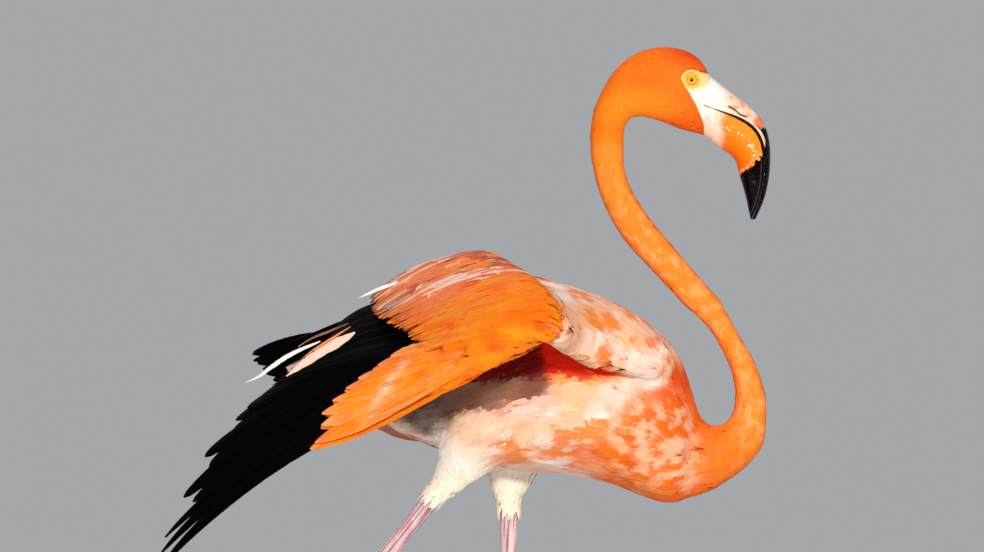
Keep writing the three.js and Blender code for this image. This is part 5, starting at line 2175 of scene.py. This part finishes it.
HAND_ROWS = (
    Row(17, 0.3, 62, 5.0, 0.6, 0.72), Row(13, 0.37, 84, 6.8, 0.3, 0.86),
    Row(8, 0.42, 150, 11.0, 0.0, 1.0, (0.03, 0.99)),
)


@dataclass
class WingCoat:
    """Long coverts, flight feathers and tail, in rows on the fans."""

    markings: Markings
    rng: Rng

    def row(self, fan: Fan, side: float, kind: int, row: Row) -> Feathers:
        """One row of coverts.

        Args:
            fan: the sheet that carries them.
            side: 1 for its outer face, -1 for its inner one.
            kind: the fan's number on the wing map.
            row: what the row is like.

        Returns:
            The feathers.
        """
        cut, count = Cuts.LONG, row.count
        across = (np.arange(count) + 0.5 + self.rng.uniform(-0.2, 0.2, count)) / count
        u = row.span[0] + (row.span[1] - row.span[0]) * across
        v0 = row.start + self.rng.uniform(-0.02, 0.02, count)
        whole = fan.middle_point(u, np.ones(count)) - fan.middle_point(u, np.zeros(count))
        reach = np.linalg.norm(whole, axis=1)
        long = row.length * self.rng.uniform(0.9, 1.1, count)
        v1 = np.minimum(v0 + long / reach, row.limit * (1 - self.rng.uniform(0, 0.03, count)))
        v1 = v1 - 0.08 * ease(0.4, 0.2, u) * (kind == Lobe.ARM)
        t = cut.along
        v = v0[:, None] + (v1 - v0)[:, None] * t[None]
        uu = np.clip(u[:, None] + self.rng.normal(0, 0.008, count)[:, None] * t[None], 0.0, 1.0)
        loft = row.lift + self.rng.uniform(-0.25, 0.25, count)[:, None]
        high = fan.coat(v) * (0.2 + 0.75 * ease(0, 0.3, t)[None]) + loft * t[None]
        spine, ups = fan.spine(uu, v, side, high)
        flat = WingMap.rows(uu, v, side, kind)
        tones = self.markings.wing(spine.reshape(-1, 3), flat).reshape(count, -1, 3)
        tones = (tones * self.rng.normal(1, 0.07, (count, 1, 1))).clip(0, 1)
        edge = self.markings.covert_edge(tones[:, -1], WingMap.rows(u, (v0 + v1) / 2, side, kind))
        patch = np.stack([0.02 + 0.96 * u, (0.52 if side > 0 else 0.02) + 0.44 * v0], 1)
        roll = side * 0.1 + self.rng.normal(0, 0.03, count)
        return Feathers(cut, spine, ups, np.full(count, row.half_width), tones, edge, patch, roll, 0.55)

    def flight(self, fan: Fan, flight: Flight) -> list[Feathers]:
        """Long feathers across a whole fan, one strip of the bake for each.

        Args:
            fan: the sheet that carries them.
            flight: what they are like.

        Returns:
            The feathers in their groups of one cut.
        """
        count = len(flight.tips)
        roots, tips = (np.arange(count) + 0.5) / count, np.array(flight.tips)
        if flight.bend:
            roots = tips - np.minimum(flight.bend * (1 - tips) ** 0.3, 0.7 * tips)
        reach = np.ones(count)
        for number, part in flight.short:
            reach[number] = part
        halves = np.linspace(*flight.width, count)
        made = []
        first, last = count - flight.slotted, count - bool(flight.slotted)
        for part, power, waist in ((slice(0, first), flight.power, 0.0), (slice(first, last), 1.8, 0.14),
                                   (slice(last, count), 1.8, 0.0)):
            u, end = roots[part], tips[part]
            if not len(u):
                continue
            cut = VaneCut(44, 9, 0.45, 0.4, power, 0.05, 0.35, 0.1, 0.4, 0.5, waist)
            v = cut.along[None] * (reach[part] * (1 - 0.012 * self.rng.random(len(u))))[:, None]
            uu = u[:, None] + (end - u)[:, None] * cut.along[None] ** (3.2 if flight.bend else 1.5)
            middle, normal = fan.middle_point(uu, v), fan.normal(uu, v)
            stack = (np.arange(count)[part] % 2 - 0.5)[:, None] * 0.6
            spine = middle + normal * (stack + 0.2)[..., None]
            tones = np.broadcast_to(flight.tone.linear, (len(u), len(cut.along), 3))
            if flight.tone is not Tone.BLACK:
                pale = self.markings.middle(spine.reshape(-1, 3), 14).reshape(len(u), -1)
                tones = mix(tones, Tone.PETAL, pale)
            edge = np.broadcast_to(flight.rim.linear, (len(u), 3))
            roll = np.full(len(u), 0.08)
            made.append(Feathers(cut, spine, normal, halves[part], tones, edge, np.zeros((len(u), 2)),
                                 roll, 0.4, (part.start, count)))
        return made

    @staticmethod
    def plume(plume: Plume, number: int, total: int) -> Feathers:
        """A single loose plume along a line.

        Args:
            plume: what it is like.
            number: its place among the plumes.
            total: how many plumes there are.

        Returns:
            The feather.
        """
        cut = VaneCut(30, 7, plume.full_at, plume.root, 1.3, 0.2, 0.8, 0.12, 0.3, 0.3)
        spine = Curve(plume.line, 3)(cut.along)[None]
        along = unit(np.gradient(spine, axis=1))
        up = unit(np.cross(along, np.cross(np.array([0.0, -1.0, 0.45]), along)))
        tones = np.broadcast_to(plume.tone.linear, (1, 30, 3))
        return Feathers(cut, spine, up, np.array([plume.half]), tones, plume.rim.linear[None],
                        np.zeros((1, 2)), np.array([plume.roll]), 0.7, (number, total))

    def build(self) -> None:
        """Every piece on both wings and the tail."""
        soft = VaneFinish("plumage_wing", 0.68, 0.2, shaft=0.35, relief=0.4).make()
        black = VaneFinish("plumage_flight", 0.8, 0.4, 0.9, 0.3, 0.0, gloss=0.02).make()
        pink = VaneFinish("plumage_pale", 0.68, 0.2, shaft=0.3).make()
        for wing in (RIGHT_WING, LEFT_WING):
            for part, kind, fan, rows in (("arm", Lobe.ARM, wing.arm, ARM_ROWS),
                                          ("hand", Lobe.HAND, wing.hand, HAND_ROWS)):
                both = [self.row(fan, side, kind, row) for side in (1, -1) for row in rows]
                coat_piece(f"long_coverts_{wing.name}_{part}", both, soft, "plumage_orange", self.rng)
        for wing in (RIGHT_WING, LEFT_WING):
            for part, fan in (("primaries", wing.primaries), ("secondaries", wing.secondaries)):
                name = f"{part}_{wing.name}"
                made = self.flight(fan, FLIGHTS[name])
                coat_piece(name, made, black, "plumage_black", self.rng, f"wing_{wing.name}_{part}")
        coat_piece("tail_feathers", self.flight(TAIL, TAIL_FLIGHT), pink, "plumage_pink", self.rng, "tail")
        plumes = [self.plume(plume, i, len(PLUMES)) for i, plume in enumerate(PLUMES)]
        coat_piece("loose_plumes", plumes, pink, "plumage_pink", self.rng)


# ---- studio


@dataclass
class Studio:
    """Pale floor, soft lights and the camera."""

    target: tuple = (0.013, 0.0544, 0.712)
    distance: float = 8.0
    frame_width: float = 0.8856
    sensor: float = 36.0
    aim: tuple = (0.0, 0.0, 0.6)
    floor_radius: float = 2.6
    floor_sides: int = 96
    air: tuple = (0.9, 0.93, 0.96, 1.0)
    air_strength: float = 0.42

    def light(self, name: str, place: tuple, size: float, power: float, colour: tuple) -> None:
        """A square soft light that looks at the bird."""
        lamp = bpy.data.lights.new(name, "AREA")
        lamp.shape = "SQUARE"
        lamp.size = size
        lamp.energy = power
        lamp.color = colour
        made = placed(name, lamp)
        made.location = place
        made.rotation_euler = (Vector(self.aim) - Vector(place)).to_track_quat("-Z", "Y").to_euler()

    def build(self) -> None:
        """Everything round the bird."""
        scene = bpy.context.scene
        scene.view_settings.view_transform = "Standard"
        scene.view_settings.look = "None"
        scene.world = bpy.data.worlds.new("studio_air")
        scene.world.use_nodes = True
        air = scene.world.node_tree.nodes["Background"].inputs
        air["Color"].default_value = self.air
        air["Strength"].default_value = self.air_strength
        angle = np.linspace(0, 2 * np.pi, self.floor_sides, endpoint=False)
        rim = np.stack([np.cos(angle), np.sin(angle), 0 * angle], 1) * self.floor_radius
        mesh = bpy.data.meshes.new("floor")
        mesh.from_pydata([tuple(p) for p in rim], [], [tuple(range(self.floor_sides))])
        mesh.materials.append(FloorFinish().make())
        placed("floor", mesh)
        self.light("key", (0.6, -4.36, 1.74), 0.45, 172.0, (1.0, 0.975, 0.94))
        self.light("back", (-0.8, 3.0, 2.8), 2.0, 45.0, (1.0, 0.98, 0.95))
        lens = bpy.data.cameras.new("camera")
        lens.sensor_width = self.sensor
        lens.lens = self.sensor * self.distance / self.frame_width
        lens.clip_end = 60.0
        scene.camera = placed("camera", lens)
        x, y, z = self.target
        scene.camera.location = (x, y - self.distance, z)
        scene.camera.rotation_euler = (math.pi / 2, 0.0, 0.0)


def main() -> None:
    """Builds the bird and its studio."""
    logging.basicConfig(level=logging.INFO, format="%(name)s: %(message)s")
    plan = Plan()
    markings = Markings(plan)
    Studio().build()
    skin = Skin(plan, markings).build()
    Bill(markings).build()
    Eyes().build()
    Claws(plan).build()
    Coat(plan, markings, Shell(skin.data), WingMap(), np.random.default_rng(21)).build()
    WingCoat(markings, np.random.default_rng(22)).build()


if __name__ == "__main__":
    main()
